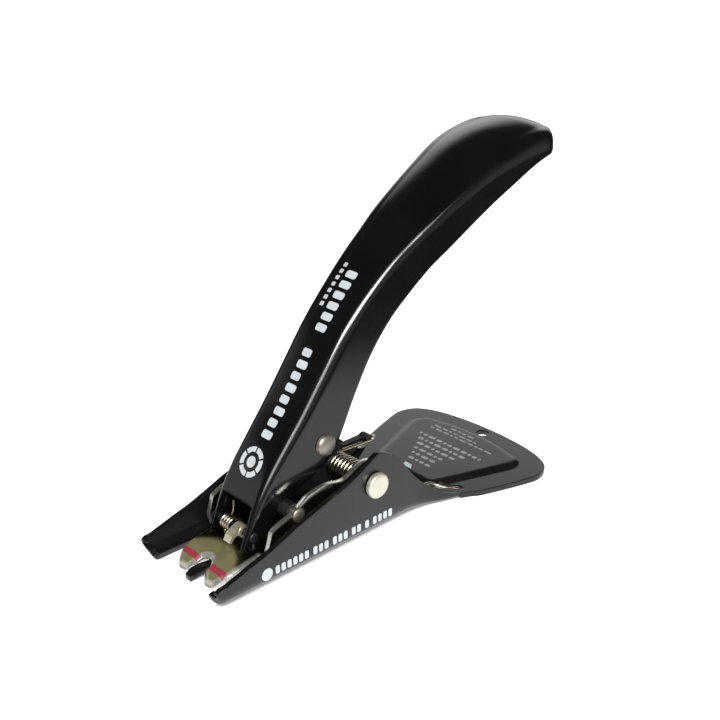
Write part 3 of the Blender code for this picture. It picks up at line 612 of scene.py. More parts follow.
# ------------------------------------------------------------------ foot
# Walled part, front to back: x, top of wall, underside, half width, outer bend radius
WALL = [
    (34.7, 3.4, 2.4, 11.0, 2.6), (34.4, 3.75, 1.45, 11.0, 2.6), (33.9, 3.95, 0.55, 11.0, 2.6),
    (33.3, 4.0, 0.08, 11.0, 2.6), (32.6, 4.1, 0.0, 11.0, 2.6), (31.8, 4.35, 0.0, 11.0, 2.6),
    (30.3, 4.75, 0.0, 11.0, 2.6), (28.5, 5.3, 0.0, 11.0, 2.6), (26.6, 5.8, 0.0, 11.0, 2.6),
    (24.4, 6.4, 0.0, 11.0, 2.6), (22.2, 7.2, 0.0, 11.0, 2.6), (20.0, 8.0, 0.0, 11.0, 2.6),
    (17.5, 8.95, 0.0, 11.0, 2.6), (13.6, 10.15, 0.0, 11.0, 2.6), (9.2, 11.4, 0.0, 11.0, 2.6),
    (7.0, 12.1, 0.0, 11.0, 2.6), (4.7, 13.1, 0.0, 11.0, 2.6), (2.4, 14.35, 0.0, 11.0, 2.6),
    (1.0, 15.1, 0.0, 11.0, 2.6), (0.0, 15.3, 0.0, 11.0, 2.6), (-1.3, 14.9, 0.0, 11.0, 2.6),
    (-3.4, 13.5, 0.0, 11.0, 2.6), (-5.5, 11.2, 0.0, 11.0, 2.6), (-7.6, 8.3, 0.0, 11.0, 2.5),
    (-9.8, 5.9, 0.0, 11.1, 2.1), (-12.1, 3.8, 0.0, 11.4, 1.6), (-14.2, 2.3, 0.0, 12.0, 1.2),
    (-16.2, 1.4, 0.0, 12.7, 1.06), (-17.8, 1.02, 0.0, 13.2, 1.01),
]
WALL_Y = 11.0                 # outer face of the straight walls
# Flat plate behind the walls: x, half width
PLATE_REAR = [
    (-17.8, 13.2), (-19.6, 14.1), (-21.2, 15.1), (-25.0, 16.5), (-29.0, 17.8), (-32.4, 18.7),
    (-34.4, 18.6), (-36.3, 17.8), (-37.5, 16.6), (-38.4, 15.0), (-39.3, 12.5), (-40.1, 8.4),
    (-40.6, 3.0),
]
# Left half of the raised panel's outline: x, y
PANEL_HALF = [
    (-15.7, 6.3), (-16.0, 7.2), (-16.8, 8.0), (-24.0, 10.7), (-30.6, 13.0), (-32.6, 13.4),
    (-34.2, 12.7), (-35.1, 11.0), (-36.0, 7.0), (-36.5, 2.6),
]
PANEL_H = 0.68
FLOOR_FRONT = 21.0            # ahead of this x the floor is open between the bends
FLOOR_COLS, BEND_COLS, WALL_COLS = 44, 8, 12
# Centre tongue: x, middle height
TONGUE = [(20.4, 0.5), (23.0, 0.5), (26.5, 0.58), (28.5, 0.75), (30.2, 0.98), (31.8, 0.85),
          (33.0, 0.45)]
HANG_HOLE_X, HANG_HOLE_R = -38.5, 1.3
SLOT_CENTRE = (-18.15, 10.15)
SLOT_DIRECTION = (-0.603, 0.798)
SLOT_R, SLOT_REACH = 0.75, 1.9    # end radius; from the slot's middle to each end's centre


def wall_section(top, underside, half_width, bend):
    """Outer skin from the centre line to the top of the wall: (y, z)."""
    bend = max(bend, FOOT_T + 0.01)
    top = max(top, bend + 0.012)
    squeeze = (top - max(underside, 0.0)) / top
    floor_end = half_width - bend
    section = [(lerp(0, floor_end, i / FLOOR_COLS), 0.0) for i in range(FLOOR_COLS)]
    for i in range(BEND_COLS + 1):
        turn = math.radians(90 * i / BEND_COLS)
        section.append((floor_end + bend * math.sin(turn), bend - bend * math.cos(turn)))
    section += [(half_width, lerp(bend, top, i / WALL_COLS)) for i in range(1, WALL_COLS + 1)]
    return [(y, top - (top - z) * squeeze) for y, z in section]


def foot_skin():
    """Lower, outer skin of the bent sheet: floor, two bends, two walls, rear plate."""
    weld = Welder(digits=4)

    def full_row(x, half):
        """Point indices from the right side to the left."""
        return ([weld.add((x - PIN_X, -y, z)) for y, z in half[::-1]]
                + [weld.add((x - PIN_X, y, z)) for y, z in half[1:]])

    stations = smooth_path(WALL, 6)
    # an exact row at the floor's front edge
    for i, (ahead, behind) in enumerate(zip(stations, stations[1:])):
        if ahead[0] > FLOOR_FRONT > behind[0]:
            t = (ahead[0] - FLOOR_FRONT) / (ahead[0] - behind[0])
            stations.insert(i + 1, tuple(lerp(a, b, t) for a, b in zip(ahead, behind)))
            break
    grid = [full_row(x, wall_section(*shape)) for x, *shape in stations]
    middle = FLOOR_COLS + BEND_COLS + WALL_COLS
    faces = []
    for i in range(len(grid) - 1):
        open_floor = stations[i][0] > FLOOR_FRONT + 1e-6
        for k in range(2 * middle):
            if open_floor and min(abs(k - middle), abs(k + 1 - middle)) < FLOOR_COLS:
                continue
            faces.append([grid[i][k], grid[i][k + 1], grid[i + 1][k + 1], grid[i + 1][k]])
    # behind the walls only the floor goes on, in the same columns
    side_cols = BEND_COLS + WALL_COLS
    rear = [grid[-1][side_cols:len(grid[-1]) - side_cols]]
    for x, half_width in smooth_path(PLATE_REAR, 8)[1:]:
        rear.append(full_row(x, [(lerp(0, half_width, i / FLOOR_COLS), 0.0)
                                 for i in range(FLOOR_COLS + 1)]))
    for a, b in zip(rear, rear[1:]):
        faces += [[a[k], a[k + 1], b[k + 1], b[k]] for k in range(2 * FLOOR_COLS)]
    return mm_object("foot", weld.points, faces, 2e-3)


def raise_panel(foot):
    """Lifts the panel, with rounded shoulders by distance from its outline."""
    half = smooth_path(PANEL_HALF, 4)
    outline = [(x - PIN_X, y) for x, y in half + [(x, -y) for x, y in half[::-1]]]
    points = points_mm(foot)
    distance = signed_distance(outline, points[:, :2])
    lift = np.array([PANEL_H * smoothstep(-0.3, 0.95, d) for d in distance])
    points[:, 2] += np.where(points[:, 2] < 0.5, lift, 0.0)
    foot.data.vertices.foreach_set("co", (points * MM).ravel())
    foot.data.update()


def tongue():
    """Flat bar in the middle of the open front."""
    path = smooth_path(TONGUE, 6)
    verts = []
    for x, z in path:
        half_width = lerp(1.0, 0.72, smoothstep(31.8, 33.0, x))
        half_height = lerp(0.5, 0.45, (x - 19.5) / 13.5)
        for side, lift in ((-1, -1), (1, -1), (1, 1), (-1, 1)):
            verts.append((x - PIN_X, side * half_width, z + lift * half_height))
    count = len(path)
    faces = loft_faces(count, 4)
    faces += [[0, 1, 2, 3], [(count - 1) * 4 + k for k in (3, 2, 1, 0)]]
    return mm_object("tongue", verts, faces)


def slanted_slot():
    """Outline of the round-ended slot left of the panel's front."""
    along_x, along_y = SLOT_DIRECTION
    points = []
    for side, start in ((-1, 90), (1, -90)):
        for x, y in arc(0, 0, SLOT_R, start, start + 180, 10):
            u = x + side * SLOT_REACH
            points.append((SLOT_CENTRE[0] - PIN_X + u * along_x - y * along_y,
                           SLOT_CENTRE[1] + u * along_y + y * along_x))
    return points


def build_foot():
    foot = foot_skin()
    raise_panel(foot)
    turn_skin(foot, (0, 0, -1))
    solidify(foot, FOOT_T)
    hang_hole = arc(HANG_HOLE_X - PIN_X, 0, HANG_HOLE_R, 0, 351, 39)
    combine(foot, prism("hang", hang_hole, -2, 4), "DIFFERENCE")
    combine(foot, prism("slot", slanted_slot(), -2, 4), "DIFFERENCE")
    combine(foot, tongue(), "UNION")
    bevel(foot, width=0.13, segments=2, angle=50)
    shade(foot, 30)
    # mask of the inner side, between the walls and above the floor
    points = points_mm(foot)
    drawing_x = points[:, 0] + PIN_X
    widths = [(row[0], row[3]) for row in WALL]
    half_width = np.array([table(widths, x) for x in drawing_x])
    mask = (np.clip((half_width - 0.35 - np.abs(points[:, 1])) / 0.4, 0, 1)
            * (points[:, 2] > 1.08) * np.clip((drawing_x + 14.0) / 2, 0, 1))
    point_attribute(foot, "matt_inside", mask)
    coat(foot, FOOT_PAINT)
    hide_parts("base_frame")
    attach(foot, "base")


# ------------------------------------------------------------------ handle
# Top line, front to back: x, z, half width, depth of side, corner radius, crown
SPINE = [
    (25.4, 3.95, 5.10, 2.3, 0.95, 0.0), (23.8, 7.40, 5.12, 3.3, 1.0, 0.0),
    (22.2, 10.9, 5.18, 4.7, 1.2, 0.0), (19.9, 14.9, 5.28, 6.7, 1.5, 0.05),
    (17.5, 18.2, 5.40, 8.6, 1.85, 0.1), (15.0, 21.2, 5.52, 10.0, 2.0, 0.1),
    (12.5, 24.2, 5.60, 9.8, 2.1, 0.1), (8.0, 30.1, 5.68, 8.5, 2.2, 0.15),
    (3.3, 36.2, 5.75, 7.7, 2.2, 0.2), (-1.6, 41.7, 5.95, 7.5, 2.25, 0.45),
    (-6.7, 46.4, 6.38, 7.6, 2.3, 0.6), (-11.2, 49.8, 6.95, 7.4, 2.35, 0.75),
    (-15.1, 52.5, 7.62, 7.4, 2.4, 0.85), (-20.4, 55.8, 8.25, 7.3, 2.5, 1.0),
    (-25.9, 58.9, 8.92, 7.0, 2.8, 1.1), (-31.0, 61.4, 9.65, 6.6, 3.2, 1.1),
    (-36.2, 63.15, 10.0, 5.9, 3.4, 1.15), (-41.6, 64.1, 10.05, 5.2, 3.4, 1.2),
    (-45.0, 64.1, 10.0, 5.2, 3.4, 1.25), (-47.8, 63.5, 10.0, 5.2, 3.4, 1.3),
    (-50.0, 62.5, 10.0, 5.2, 3.4, 1.3), (-51.2, 61.8, 10.0, 5.2, 3.4, 1.3),
]
SPINE_STEPS = 12
OPEN_ROW, MAIN_ROW = 2, 17    # rows where the top starts and where the round end starts
# Splay of the sides: distance along the spine, splay
FLARE = [(0, 0.0), (8, 0.0), (18, 0.5), (110, 0.5)]
TOP_COLS, CORNER_COLS, SIDE_COLS = 10, 8, 10
PRONG_END_Z = 3.75
END_SPOKES = 28


class Spine:
    """Smoothed top line of the handle, addressed by distance from its front end."""

    def __init__(self):
        self.points = smooth_path(SPINE, SPINE_STEPS)
        self.dist = [0.0]
        for a, b in zip(self.points, self.points[1:]):
            self.dist.append(self.dist[-1] + math.hypot(b[0] - a[0], b[1] - a[1]))

    def tangent(self, k):
        before = self.points[max(k - 2, 0)]
        after = self.points[min(k + 3, len(self.points) - 1)]
        x, z = after[0] - before[0], after[1] - before[1]
        length = math.hypot(x, z)
        return x / length, z / length

    def at(self, dist):
        """Row of SPINE values and the outward normal (x, z)."""
        dist = min(max(dist, 0.0), self.dist[-1])
        i = 0
        while i < len(self.dist) - 2 and self.dist[i + 1] < dist:
            i += 1
        t = (dist - self.dist[i]) / (self.dist[i + 1] - self.dist[i])
        values = tuple(lerp(a, b, t) for a, b in zip(self.points[i], self.points[i + 1]))
        x, z = (lerp(a, b, t) for a, b in zip(self.tangent(i), self.tangent(i + 1)))
        length = math.hypot(x, z)
        return values, (z / length, -x / length)

    def put(self, dist, y, drop):
        """Frame point at side offset y, drop below the spine."""
        (x, z, *_), (normal_x, normal_z) = self.at(dist)
        return (x - drop * normal_x - PIN_X, y, z - drop * normal_z)


spine = Spine()
OPEN_DIST = spine.dist[OPEN_ROW * SPINE_STEPS]
MAIN_DIST = spine.dist[MAIN_ROW * SPINE_STEPS]
END_DIST = spine.dist[-1]


def half_section(half_width, depth, corner, crown, flare, rim=0.4):
    """Outer skin from the middle of the top to the rim: (y, drop). Where the side is low the
    splay goes into the width, so that the rim has no lip."""
    bend_end = crown + corner
    low = max(depth, bend_end + rim)
    splay = flare * min(1.0, (low - crown - corner) / 4.0)
    half_width = half_width + flare - splay
    flat = half_width - corner
    section = []
    for k in range(TOP_COLS + 1):
        q = k / TOP_COLS
        section.append((flat * q, crown * q * q))
    for k in range(1, CORNER_COLS + 1):
        turn = math.radians(90 * k / CORNER_COLS)
        section.append((flat + corner * math.sin(turn), crown + corner * (1 - math.cos(turn))))
    for k in range(1, SIDE_COLS + 1):
        q = k / SIDE_COLS
        section.append((half_width + splay * q, lerp(bend_end, low, q)))
    return section


def handle_stations():
    """Distances of the cross rows, from the prongs' ends to the round end."""
    stations, dist = [], 0.0
    while dist < OPEN_DIST - 0.2:
        stations.append(dist)
        dist += OPEN_DIST / 12
    stations.append(OPEN_DIST)
    dist = OPEN_DIST + 0.8
    while dist < MAIN_DIST - 0.4:
        stations.append(dist)
        dist += 0.9 if dist < 30 else 1.3
    stations.append(MAIN_DIST)
    return stations


def handle_row(dist):
    """Points across the handle from left to right."""
    (_, _, *shape), (normal_x, normal_z) = spine.at(dist)
    half = half_section(*shape, table(FLARE, dist))
    row = [spine.put(dist, y, drop) for y, drop in half[::-1]]
    row += [spine.put(dist, -y, drop) for y, drop in half[1:]]
    if dist < 6:                   # the prongs' ends are cut level just above the claw
        slope = -normal_z / normal_x
        row = [(x + slope * max(PRONG_END_Z - z, 0), y, max(z, PRONG_END_Z))
               for x, y, z in row]
    return row


def round_end(weld):
    """Sections fanned round the handle's back end, as rows of point indices."""
    (_, _, half_width, depth, corner, crown), _ = spine.at(MAIN_DIST)
    reach = END_DIST - MAIN_DIST - 0.3
    fan = []
    for k in range(1, END_SPOKES):
        angle = math.pi / 2 - math.pi * k / END_SPOKES
        back = math.cos(angle)
        soft = back * back * (3 - 2 * back)
        half = half_section(half_width, lerp(depth, 2.1, soft), lerp(corner, 1.35, soft),
                            crown * (1 - 0.1 * soft), table(FLARE, MAIN_DIST),
                            rim=lerp(0.4, 0.08, soft))
        taper = 1 - 0.08 * math.sin(2 * angle) ** 2
        fan.append([weld.add(spine.put(MAIN_DIST + y * taper * back * reach / half[-1][0],
                                       y * taper * math.sin(angle), drop))
                    for y, drop in half])
    return fan


def handle_skin():
    weld = Welder(digits=5)
    stations = handle_stations()
    grid = [[weld.add(p) for p in handle_row(dist)] for dist in stations]
    middle = TOP_COLS + CORNER_COLS + SIDE_COLS
    faces = []
    for i in range(len(grid) - 1):
        prongs = stations[i] < OPEN_DIST - 1e-6
        for k in range(2 * middle):
            if prongs and min(abs(k - middle), abs(k + 1 - middle)) < TOP_COLS:
                continue
            quad = [grid[i][k], grid[i][k + 1], grid[i + 1][k + 1], grid[i + 1][k]]
            if len(set(quad)) > 2:
                faces.append(quad)
    fan = round_end(weld)
    spokes = [grid[-1][:middle + 1][::-1]] + fan + [grid[-1][middle:]]
    for a, b in zip(spokes, spokes[1:]):
        faces.append([a[0], a[1], b[1]])
        faces += [[a[k], a[k + 1], b[k + 1], b[k]] for k in range(1, middle)]
    return mm_object("handle", weld.points, faces, 1e-3)


def build_handle():
    handle = handle_skin()
    turn_skin(handle, (0, 0, 1))
    solidify(handle, HANDLE_T)
    for centre, radius in ((RIVET, 1.3), (NOSE_PIN, 0.65), (CLAW_PIN, 1.6)):
        drill(handle, centre, radius)
    bevel(handle, width=0.16, segments=3, angle=50)
    shade(handle, 32)
    coat(handle, HANDLE_PAINT)
    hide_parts("handle_shell")
    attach(handle, "lever")


# ------------------------------------------------------------------ main pin, rivet, claw pin
# Heads on the left side, from the inside out: y, radius
MAIN_PIN_HEAD = [(11.2, 1.3), (11.2, 2.27), (11.25, 2.3), (11.6, 2.3), (11.9, 2.28),
                 (12.08, 2.18), (12.2, 2.0), (12.27, 1.75), (12.3, 1.2), (12.3, 0.0)]
MAIN_PIN_MIDDLE_Y = 0.05
RIVET_COLLAR = [(5.7, 1.25), (5.7, 2.0), (5.74, 2.05), (5.95, 2.05), (6.02, 2.0)]
CLAW_PIN_COLLAR = [(8.72, 1.0), (8.72, 1.2), (8.76, 1.25), (8.85, 1.25)]


def both_ends(head, middle=0.0):
    """Profile with the head at both ends, mirrored about y = middle."""
    return [(2 * middle - y, radius) for y, radius in head[::-1]] + head


def dome(base, height, radius, step, power=1.0):
    """Rounded cap from y = base, a point every step degrees."""
    angles = [math.radians(q) for q in range(10, 90, step)]
    cap = [(base + height * math.sin(q), radius * math.cos(q) ** power) for q in angles]
    return cap + [(base + height, 0)]


def build_pins():
    pin = turned("main_pin_finish", both_ends(MAIN_PIN_HEAD, MAIN_PIN_MIDDLE_Y), MAIN_PIN,
                 segments=72)
    shade(pin, 40)
    coat(pin, NICKEL)
    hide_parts("main_pin")
    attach(pin, "base")

    head = RIVET_COLLAR + dome(base=5.95, height=0.98, radius=2.0, step=8)
    rivet = turned("handle_rivet_finish", both_ends(head), RIVET, segments=56)
    shade(rivet, 40)
    coat(rivet, RIVET_STEEL)
    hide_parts("handle_rivet")
    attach(rivet, "lever")

    head = CLAW_PIN_COLLAR + dome(base=8.85, height=0.4, radius=1.25, step=10, power=0.8)
    claw_pin = turned("claw_pin_finish", both_ends(head), CLAW_PIN, segments=40)
    shade(claw_pin, 40)
    coat(claw_pin, RIVET_STEEL)
    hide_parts("claw_pin")
    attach(claw_pin, "lever")


# ------------------------------------------------------------------ claw
# Upper face of the flat part, front to back: x, z
CLAW_TOP = [
    (31.75, 0.45), (31.35, 0.95), (30.75, 1.52), (30.0, 2.05), (28.9, 2.5), (27.4, 2.9),
    (25.6, 3.2), (24.2, 3.38), (23.2, 3.45), (9.0, 3.45),
]
# Sheet thickness, thinner at the tips: x, thickness
CLAW_THICKNESS = [(31.3, 0.62), (30.6, 0.82), (29.4, CLAW_T), (0, CLAW_T)]
# Left side of the flat part from the back to the tine: x, y
CLAW_SIDE = [(9.7, 7.0), (22.95, 7.0), (23.2, 6.55), (25.6, 6.55), (27.4, 6.5), (28.9, 6.42),
             (29.6, 6.25)]
TINE_Y = 3.45
SLOT_HALF, SLOT_ROOT = 2.9 / 2, 28.4
GROUND = 0.75                 # width of the ground edge
RING_INSETS = (0.1, 0.22, 0.38, 0.56, 0.75)
CLAW_STEP = 0.35
# Upper and lower edge of the upright arms, front to back: x, z
ARM_TOP = [
    (22.9, 4.7), (22.55, 5.7), (22.2, 6.7), (21.95, 7.5), (21.6, 8.05), (20.6, 8.6),
    (18.9, 9.15), (17.2, 9.7), (15.5, 10.7), (14.0, 11.6), (12.5, 11.95), (11.0, 12.15),
    (9.5, 12.2), (7.6, 11.75), (5.9, 11.6), (3.6, 12.6), (1.3, 13.3), (-0.6, 12.9),
    (-1.6, 11.9), (-2.1, 10.9), (-2.3, 9.8),
]
ARM_BOTTOM = [
    (22.9, 0), (10.0, 0), (9.6, 3.9), (8.4, 5.3), (6.0, 5.9), (3.4, 6.0), (1.3, 6.3),
    (-0.6, 6.8), (-1.9, 8.1), (-2.3, 9.3),
]
ARM_Y = 8.6                   # outer face
ARM_BEND = 1.3 + CLAW_T       # outer bend radius
ARM_LOW = CLAW_TOP[-1][1] - CLAW_T
ARM_BEND_COLS, ARM_SIDE_COLS = 8, 8


def claw_outline():
    """Plan of the flat part: sides, rounded tines and the slot between them."""
    tine = []
    for angle in range(78, -82, -6):
        across = math.sin(math.radians(angle))
        half_width, power = (2.45, 2.8) if angle > 0 else (2.15, 2.2)
        tine.append((31.9 - 1.9 * abs(across) ** power, TINE_Y + half_width * across))
    slot = []
    for angle in range(96, 181, 6):
        turn = math.radians(angle)
        slot.append((SLOT_ROOT + SLOT_HALF + SLOT_HALF * math.cos(turn),
                     SLOT_HALF * math.sin(turn)))
    left = CLAW_SIDE + tine + [(29.95, SLOT_HALF + 0.02)] + slot
    outline = left + [(x, -y) for x, y in left[::-1][1:]]
    return [(x - PIN_X, y) for x, y in outline]


def claw_height(x):
    return table(CLAW_TOP, x + PIN_X)


def claw_thickness(x):
    """The tines thin out and their undersides stay above the table."""
    return min(table(CLAW_THICKNESS, x + PIN_X), claw_height(x) - 0.01)


def claw_drop(inset, x):
    """Ground edge of the free front, steeper towards the outside."""
    t = max(0.0, 1 - inset / GROUND)
    front = smoothstep(22.2, 23.4, x + PIN_X)
    return min(0.5, claw_thickness(x) - 0.08) * (0.55 * t + 0.45 * t * t) * front


def claw_flat():
    """Closed sheet over the plan. Rings of points inside the outline keep the ground edge
    crisp, a grid fills the rest."""
    dense = subdivide(claw_outline(), CLAW_STEP)
    rim = np.array(dense)
    following = np.roll(rim, -1, 0)
    tangent = following - np.roll(rim, 1, 0)
    tangent /= np.linalg.norm(tangent, axis=1)[:, None] + 1e-12
    area = 0.5 * np.sum(rim[:, 0] * following[:, 1] - following[:, 0] * rim[:, 1])
    inward = np.stack([-tangent[:, 1], tangent[:, 0]], 1) * (1 if area > 0 else -1)
    inner = []
    for inset in RING_INSETS:
        ring = rim + inward * inset
        distance = signed_distance(dense, ring)
        inner += [tuple(p) for p, d in zip(ring, distance) if d > inset - 0.03]
    inner += grid_inside(dense, CLAW_STEP, margin=RING_INSETS[-1] + 0.12)
    plan, triangles = triangulate(dense, inner, 1e-5)
    distance = signed_distance(dense, plan)
    verts = [(x, y, claw_height(x) - claw_drop(max(d, 0.0), x))
             for (x, y), d in zip(plan, distance)]
    verts += [(x, y, claw_height(x) - claw_thickness(x)) for x, y in plan]
    return mm_object("claw", verts, two_layer_faces(triangles, len(plan)), 1e-5)


def arm_section(x, top):
    """Outer skin from the flat part round the bend to the arm's top: (y, z)."""
    bend_top = ARM_LOW + ARM_BEND
    bottom = table(ARM_BOTTOM, x)
    if bottom > bend_top:
        last = ARM_BEND_COLS + ARM_SIDE_COLS + 1
        start = min(bottom, top - 0.3)
        return [(ARM_Y, lerp(start, top, k / last)) for k in range(last + 1)]
    section = [(ARM_Y - ARM_BEND - 0.6, ARM_LOW)]
    for k in range(ARM_BEND_COLS + 1):
        turn = math.radians(90 * k / ARM_BEND_COLS)
        section.append((ARM_Y - ARM_BEND + ARM_BEND * math.sin(turn),
                        ARM_LOW + ARM_BEND - ARM_BEND * math.cos(turn)))
    section += [(ARM_Y, lerp(bend_top, max(top, bend_top + 0.05), k / ARM_SIDE_COLS))
                for k in range(1, ARM_SIDE_COLS + 1)]
    return [(ARM_Y if z < bottom else y, max(z, bottom)) for y, z in section]


def claw_arm(side):
    """Bent sheet on the left (side 1) or right (side -1)."""
    rows = [[(x - PIN_X, side * y, z) for y, z in arm_section(x, top)]
            for x, top in smooth_path(ARM_TOP, 4)]
    faces = loft_faces(len(rows), len(rows[0]), closed=False)
    arm = mm_object("arm", [p for row in rows for p in row], faces)
    turn_skin(arm, (0, side, 0))
    solidify(arm, CLAW_T)
    return arm


def mark_claw(claw):
    """Masks for the ground edges, the red marks and the matt front, behind which the claw's
    colour is darkened as painted shade.
    """
    points = points_mm(claw)
    x, y, z = points[:, 0] + PIN_X, points[:, 1], points[:, 2]
    inset = signed_distance(claw_outline(), points[:, :2])
    ground = np.clip(1 - (inset - 0.45) / 0.25, 0, 1) * np.clip((x - 22.3) / 0.6, 0, 1)
    # the arms' sheared top edges are bright as well
    crest = np.array([table(ARM_TOP, value) for value in x])
    sheared = np.clip((z - crest + 0.22) / 0.1, 0, 1) * (np.abs(y) > 7.5) * (x < 22.9)
    point_attribute(claw, "ground", np.maximum(ground, sheared))

    on_top = z > np.array([claw_height(value) - 0.45 for value in points[:, 0]])
    along = np.clip((0.78 - np.abs(x - 29.7)) / 0.45, 0, 1)
    across = np.clip((2.45 - np.abs(np.abs(y) - 3.65)) / 0.45, 0, 1)
    point_attribute(claw, "red_mark", along * across * on_top)

    # the plating is matt olive on the free front; further back, under the handle's nose, its
    # colour is darkened as painted shade
    front = np.clip((x - 23.6 - 0.09 * y ** 2) / 1.6, 0, 1) * (np.abs(y) < 7.2)
    point_attribute(claw, "matt_unshaded_front", front * front * (3 - 2 * front))


def build_claw():
    claw = claw_flat()
    for side in (1, -1):
        combine(claw, claw_arm(side), "UNION")
    drill(claw, MAIN_PIN, 1.35)
    drill(claw, CLAW_PIN, 1.05)
    bevel(claw, width=0.08, segments=2, angle=55)
    shade(claw, 28)
    mark_claw(claw)
    coat(claw, claw_material())
    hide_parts("claw_fork")
    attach(claw, "lever")


# ------------------------------------------------------------------ springs
# Legs of the return spring: x, y, z. The upper one leads into the coil's right end, the
# lower one leaves its left end and runs back to the foot.
UPPER_LEG = [(-7.65, 0.95, 12.15), (-7.6, 0.95, 11.85), (-7.42, 0.95, 11.6),
             (-7.0, 0.95, 11.45), (-4.0, 0.95, 11.62), (-0.6, 0.95, 11.82), (1.0, 0.95, 11.9)]
LOWER_LEG = [(-2.0, 7.05, 7.4), (-6.5, 7.2, 4.9), (-11.5, 7.0, 2.4), (-14.6, 7.1, 1.55),
             (-15.9, 7.3, 1.38), (-17.0, 8.15, 0.95), (-17.8, 9.18, 0.62),
             (-19.0, 10.78, 0.6), (-19.45, 11.38, 0.6)]


def coil(centre, radius, y0, y1, turns, start, steps):
    """Helix about a Y axis through centre (x, z), with steps points per turn."""
    count = int(turns * steps)
    points = []
    for k in range(count + 1):
        angle = math.radians(start) + 2 * math.pi * turns * k / count
        points.append((centre[0] + radius * math.cos(angle), lerp(y0, y1, k / count),
                       centre[1] + radius * math.sin(angle)))
    return points


def build_return_spring():
    body = coil((PIN_X, 9.95), radius=1.96, y0=0.95, y1=7.05, turns=7.25, start=90, steps=40)
    upper = smooth_path(UPPER_LEG, 5)[:-1]
    # the first span only guides the curve out of the coil
    lower = smooth_path([body[-3], body[-1]] + LOWER_LEG, 6)[7:]
    path = [(x - PIN_X, y, z) for x, y, z in upper + body + lower]
    spring = wire("return_spring_wire", path, radius=0.37, segments=14)
    shade(spring, 60)
    coat(spring, WIRE_STEEL)
    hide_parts("return_spring")
    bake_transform(spring)


def build_keeper_spring():
    body = coil(NOSE_PIN, radius=1.2, y0=-2.6, y1=0.1, turns=4.25, start=200, steps=32)
    first, last = body[0], body[-1]
    right_leg = [(first[0] - 1.1, -3.05, first[2] + 3.1), (first[0] - 0.7, -2.8, first[2] + 1.6)]
    left_leg = [(last[0] + 1.3, 0.28, last[2] + 0.1),
                (NOSE_PIN[0] + 2.4, 0.42, NOSE_PIN[1] + 0.6)]
    path = (smooth_path(right_leg + [first], 4)[:-1] + body
            + smooth_path([last] + left_leg, 4)[1:])
    spring = wire("keeper_spring_wire", path, radius=0.22, segments=12)
    shade(spring, 60)
    coat(spring, WIRE_STEEL)
    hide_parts("keeper_spring")
    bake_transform(spring)


# ------------------------------------------------------------------ CAD nodes that stay
CAD_FINISHES = {
    "pivot_plate": BLACK_OXIDE, "pivot_spacer": SPACER_STEEL,
    "rivet_spacer_left": SPACER_STEEL, "rivet_spacer_right": SPACER_STEEL,
    "claw_spacer_left": SPACER_STEEL, "claw_spacer_right": SPACER_STEEL,
    "nose_pin": BLACK_OXIDE, "staple_keeper": KEEPER_STEEL,
}


def finish_cad_nodes():
    for node, material in CAD_FINISHES.items():
        obj = frame["nodes"][node]
        coat(obj, material)
        for polygon in obj.data.polygons:
            polygon.material_index = 0


# ------------------------------------------------------------------ print
# Panel rows, front to back: x, right end, left end, dash width
PANEL_ROWS = [
    (-20.1, -2.6, 3.2, 0.8), (-21.9, -3.5, 3.1, 0.8), (-23.6, -4.6, 3.9, 0.8),
    (-25.4, -5.6, 4.9, 0.8), (-27.1, -6.9, 5.6, 0.8), (-28.8, -8.2, 8.2, 0.8),
    (-32.1, -8.4, 8.1, 0.45), (-33.2, -8.2, 3.6, 0.45), (-34.4, -4.8, 1.4, 0.45),
]
DASH_LENGTHS = (1.5, 0.8, 1.1, 1.8)
PANEL_MARK = [(-18.2, -1.5), (-17.0, -1.0), (-17.0, 1.2), (-18.2, 0.2)]
HANDLE_RING = (14.2, -0.15)   # distance along the spine, y


def printed(name, shapes, place, material, lift=0.03, cell=0.7):
    """Thin closed inlays: each shape is an outline in the surface's own (u, v)."""
    verts, faces = [], []
    for outline in shapes:
        dense = subdivide(outline, cell)
        inner = grid_inside(dense, cell, margin=cell * 0.3, offset=cell / 2)
        plan, triangles = triangulate(dense, inner, 1e-6)
        faces += two_layer_faces(triangles, len(plan), base=len(verts))
        verts += [place(u, v, lift) for u, v in plan] + [place(u, v, -0.05) for u, v in plan]
    obj = mm_object(name, verts, faces, 1e-6)
    shade(obj, 40)
    coat(obj, material)
    return obj


def on_handle(dist, y, lift):
    """Top face of the handle, which falls away from the spine by its crown."""
    (_, _, half_width, _, corner, crown), _ = spine.at(dist)
    q = min(abs(y) / (half_width - corner), 1.0)
    return spine.put(dist, y, crown * q * q - lift)


def on_wall(x, z, lift):
    """Outer face of the left wall."""
    return (x - PIN_X, WALL_Y + lift, z)


def on_panel(x, y, lift):
    return (x - PIN_X, y, FOOT_T + PANEL_H + lift)


def block(start, length, low, high, radius):
    """Rounded block from start along u, between low and high in v."""
    radius = min(radius, length / 2 - 0.01, (high - low) / 2 - 0.01)
    u0, u1 = start + radius, start + length - radius
    v0, v1 = low + radius, high - radius
    points = []
    for u, v, angle in ((u1, v1, 0), (u0, v1, 90), (u0, v0, 180), (u1, v0, 270)):
        points += arc(u, v, radius, angle, angle + 90, 3)
    return points


def dash(x, y, length, width):
    """Round-ended bar along y about its middle."""
    radius = width / 2
    points = []
    for side in (1, -1):
        for k in range(4):
            q = math.radians(-90 + 180 * k / 3) + (0 if side > 0 else math.pi)
            points.append((x - radius * math.sin(q),
                           y + (side * (length / 2 - radius) + radius * math.cos(q))))
    return points


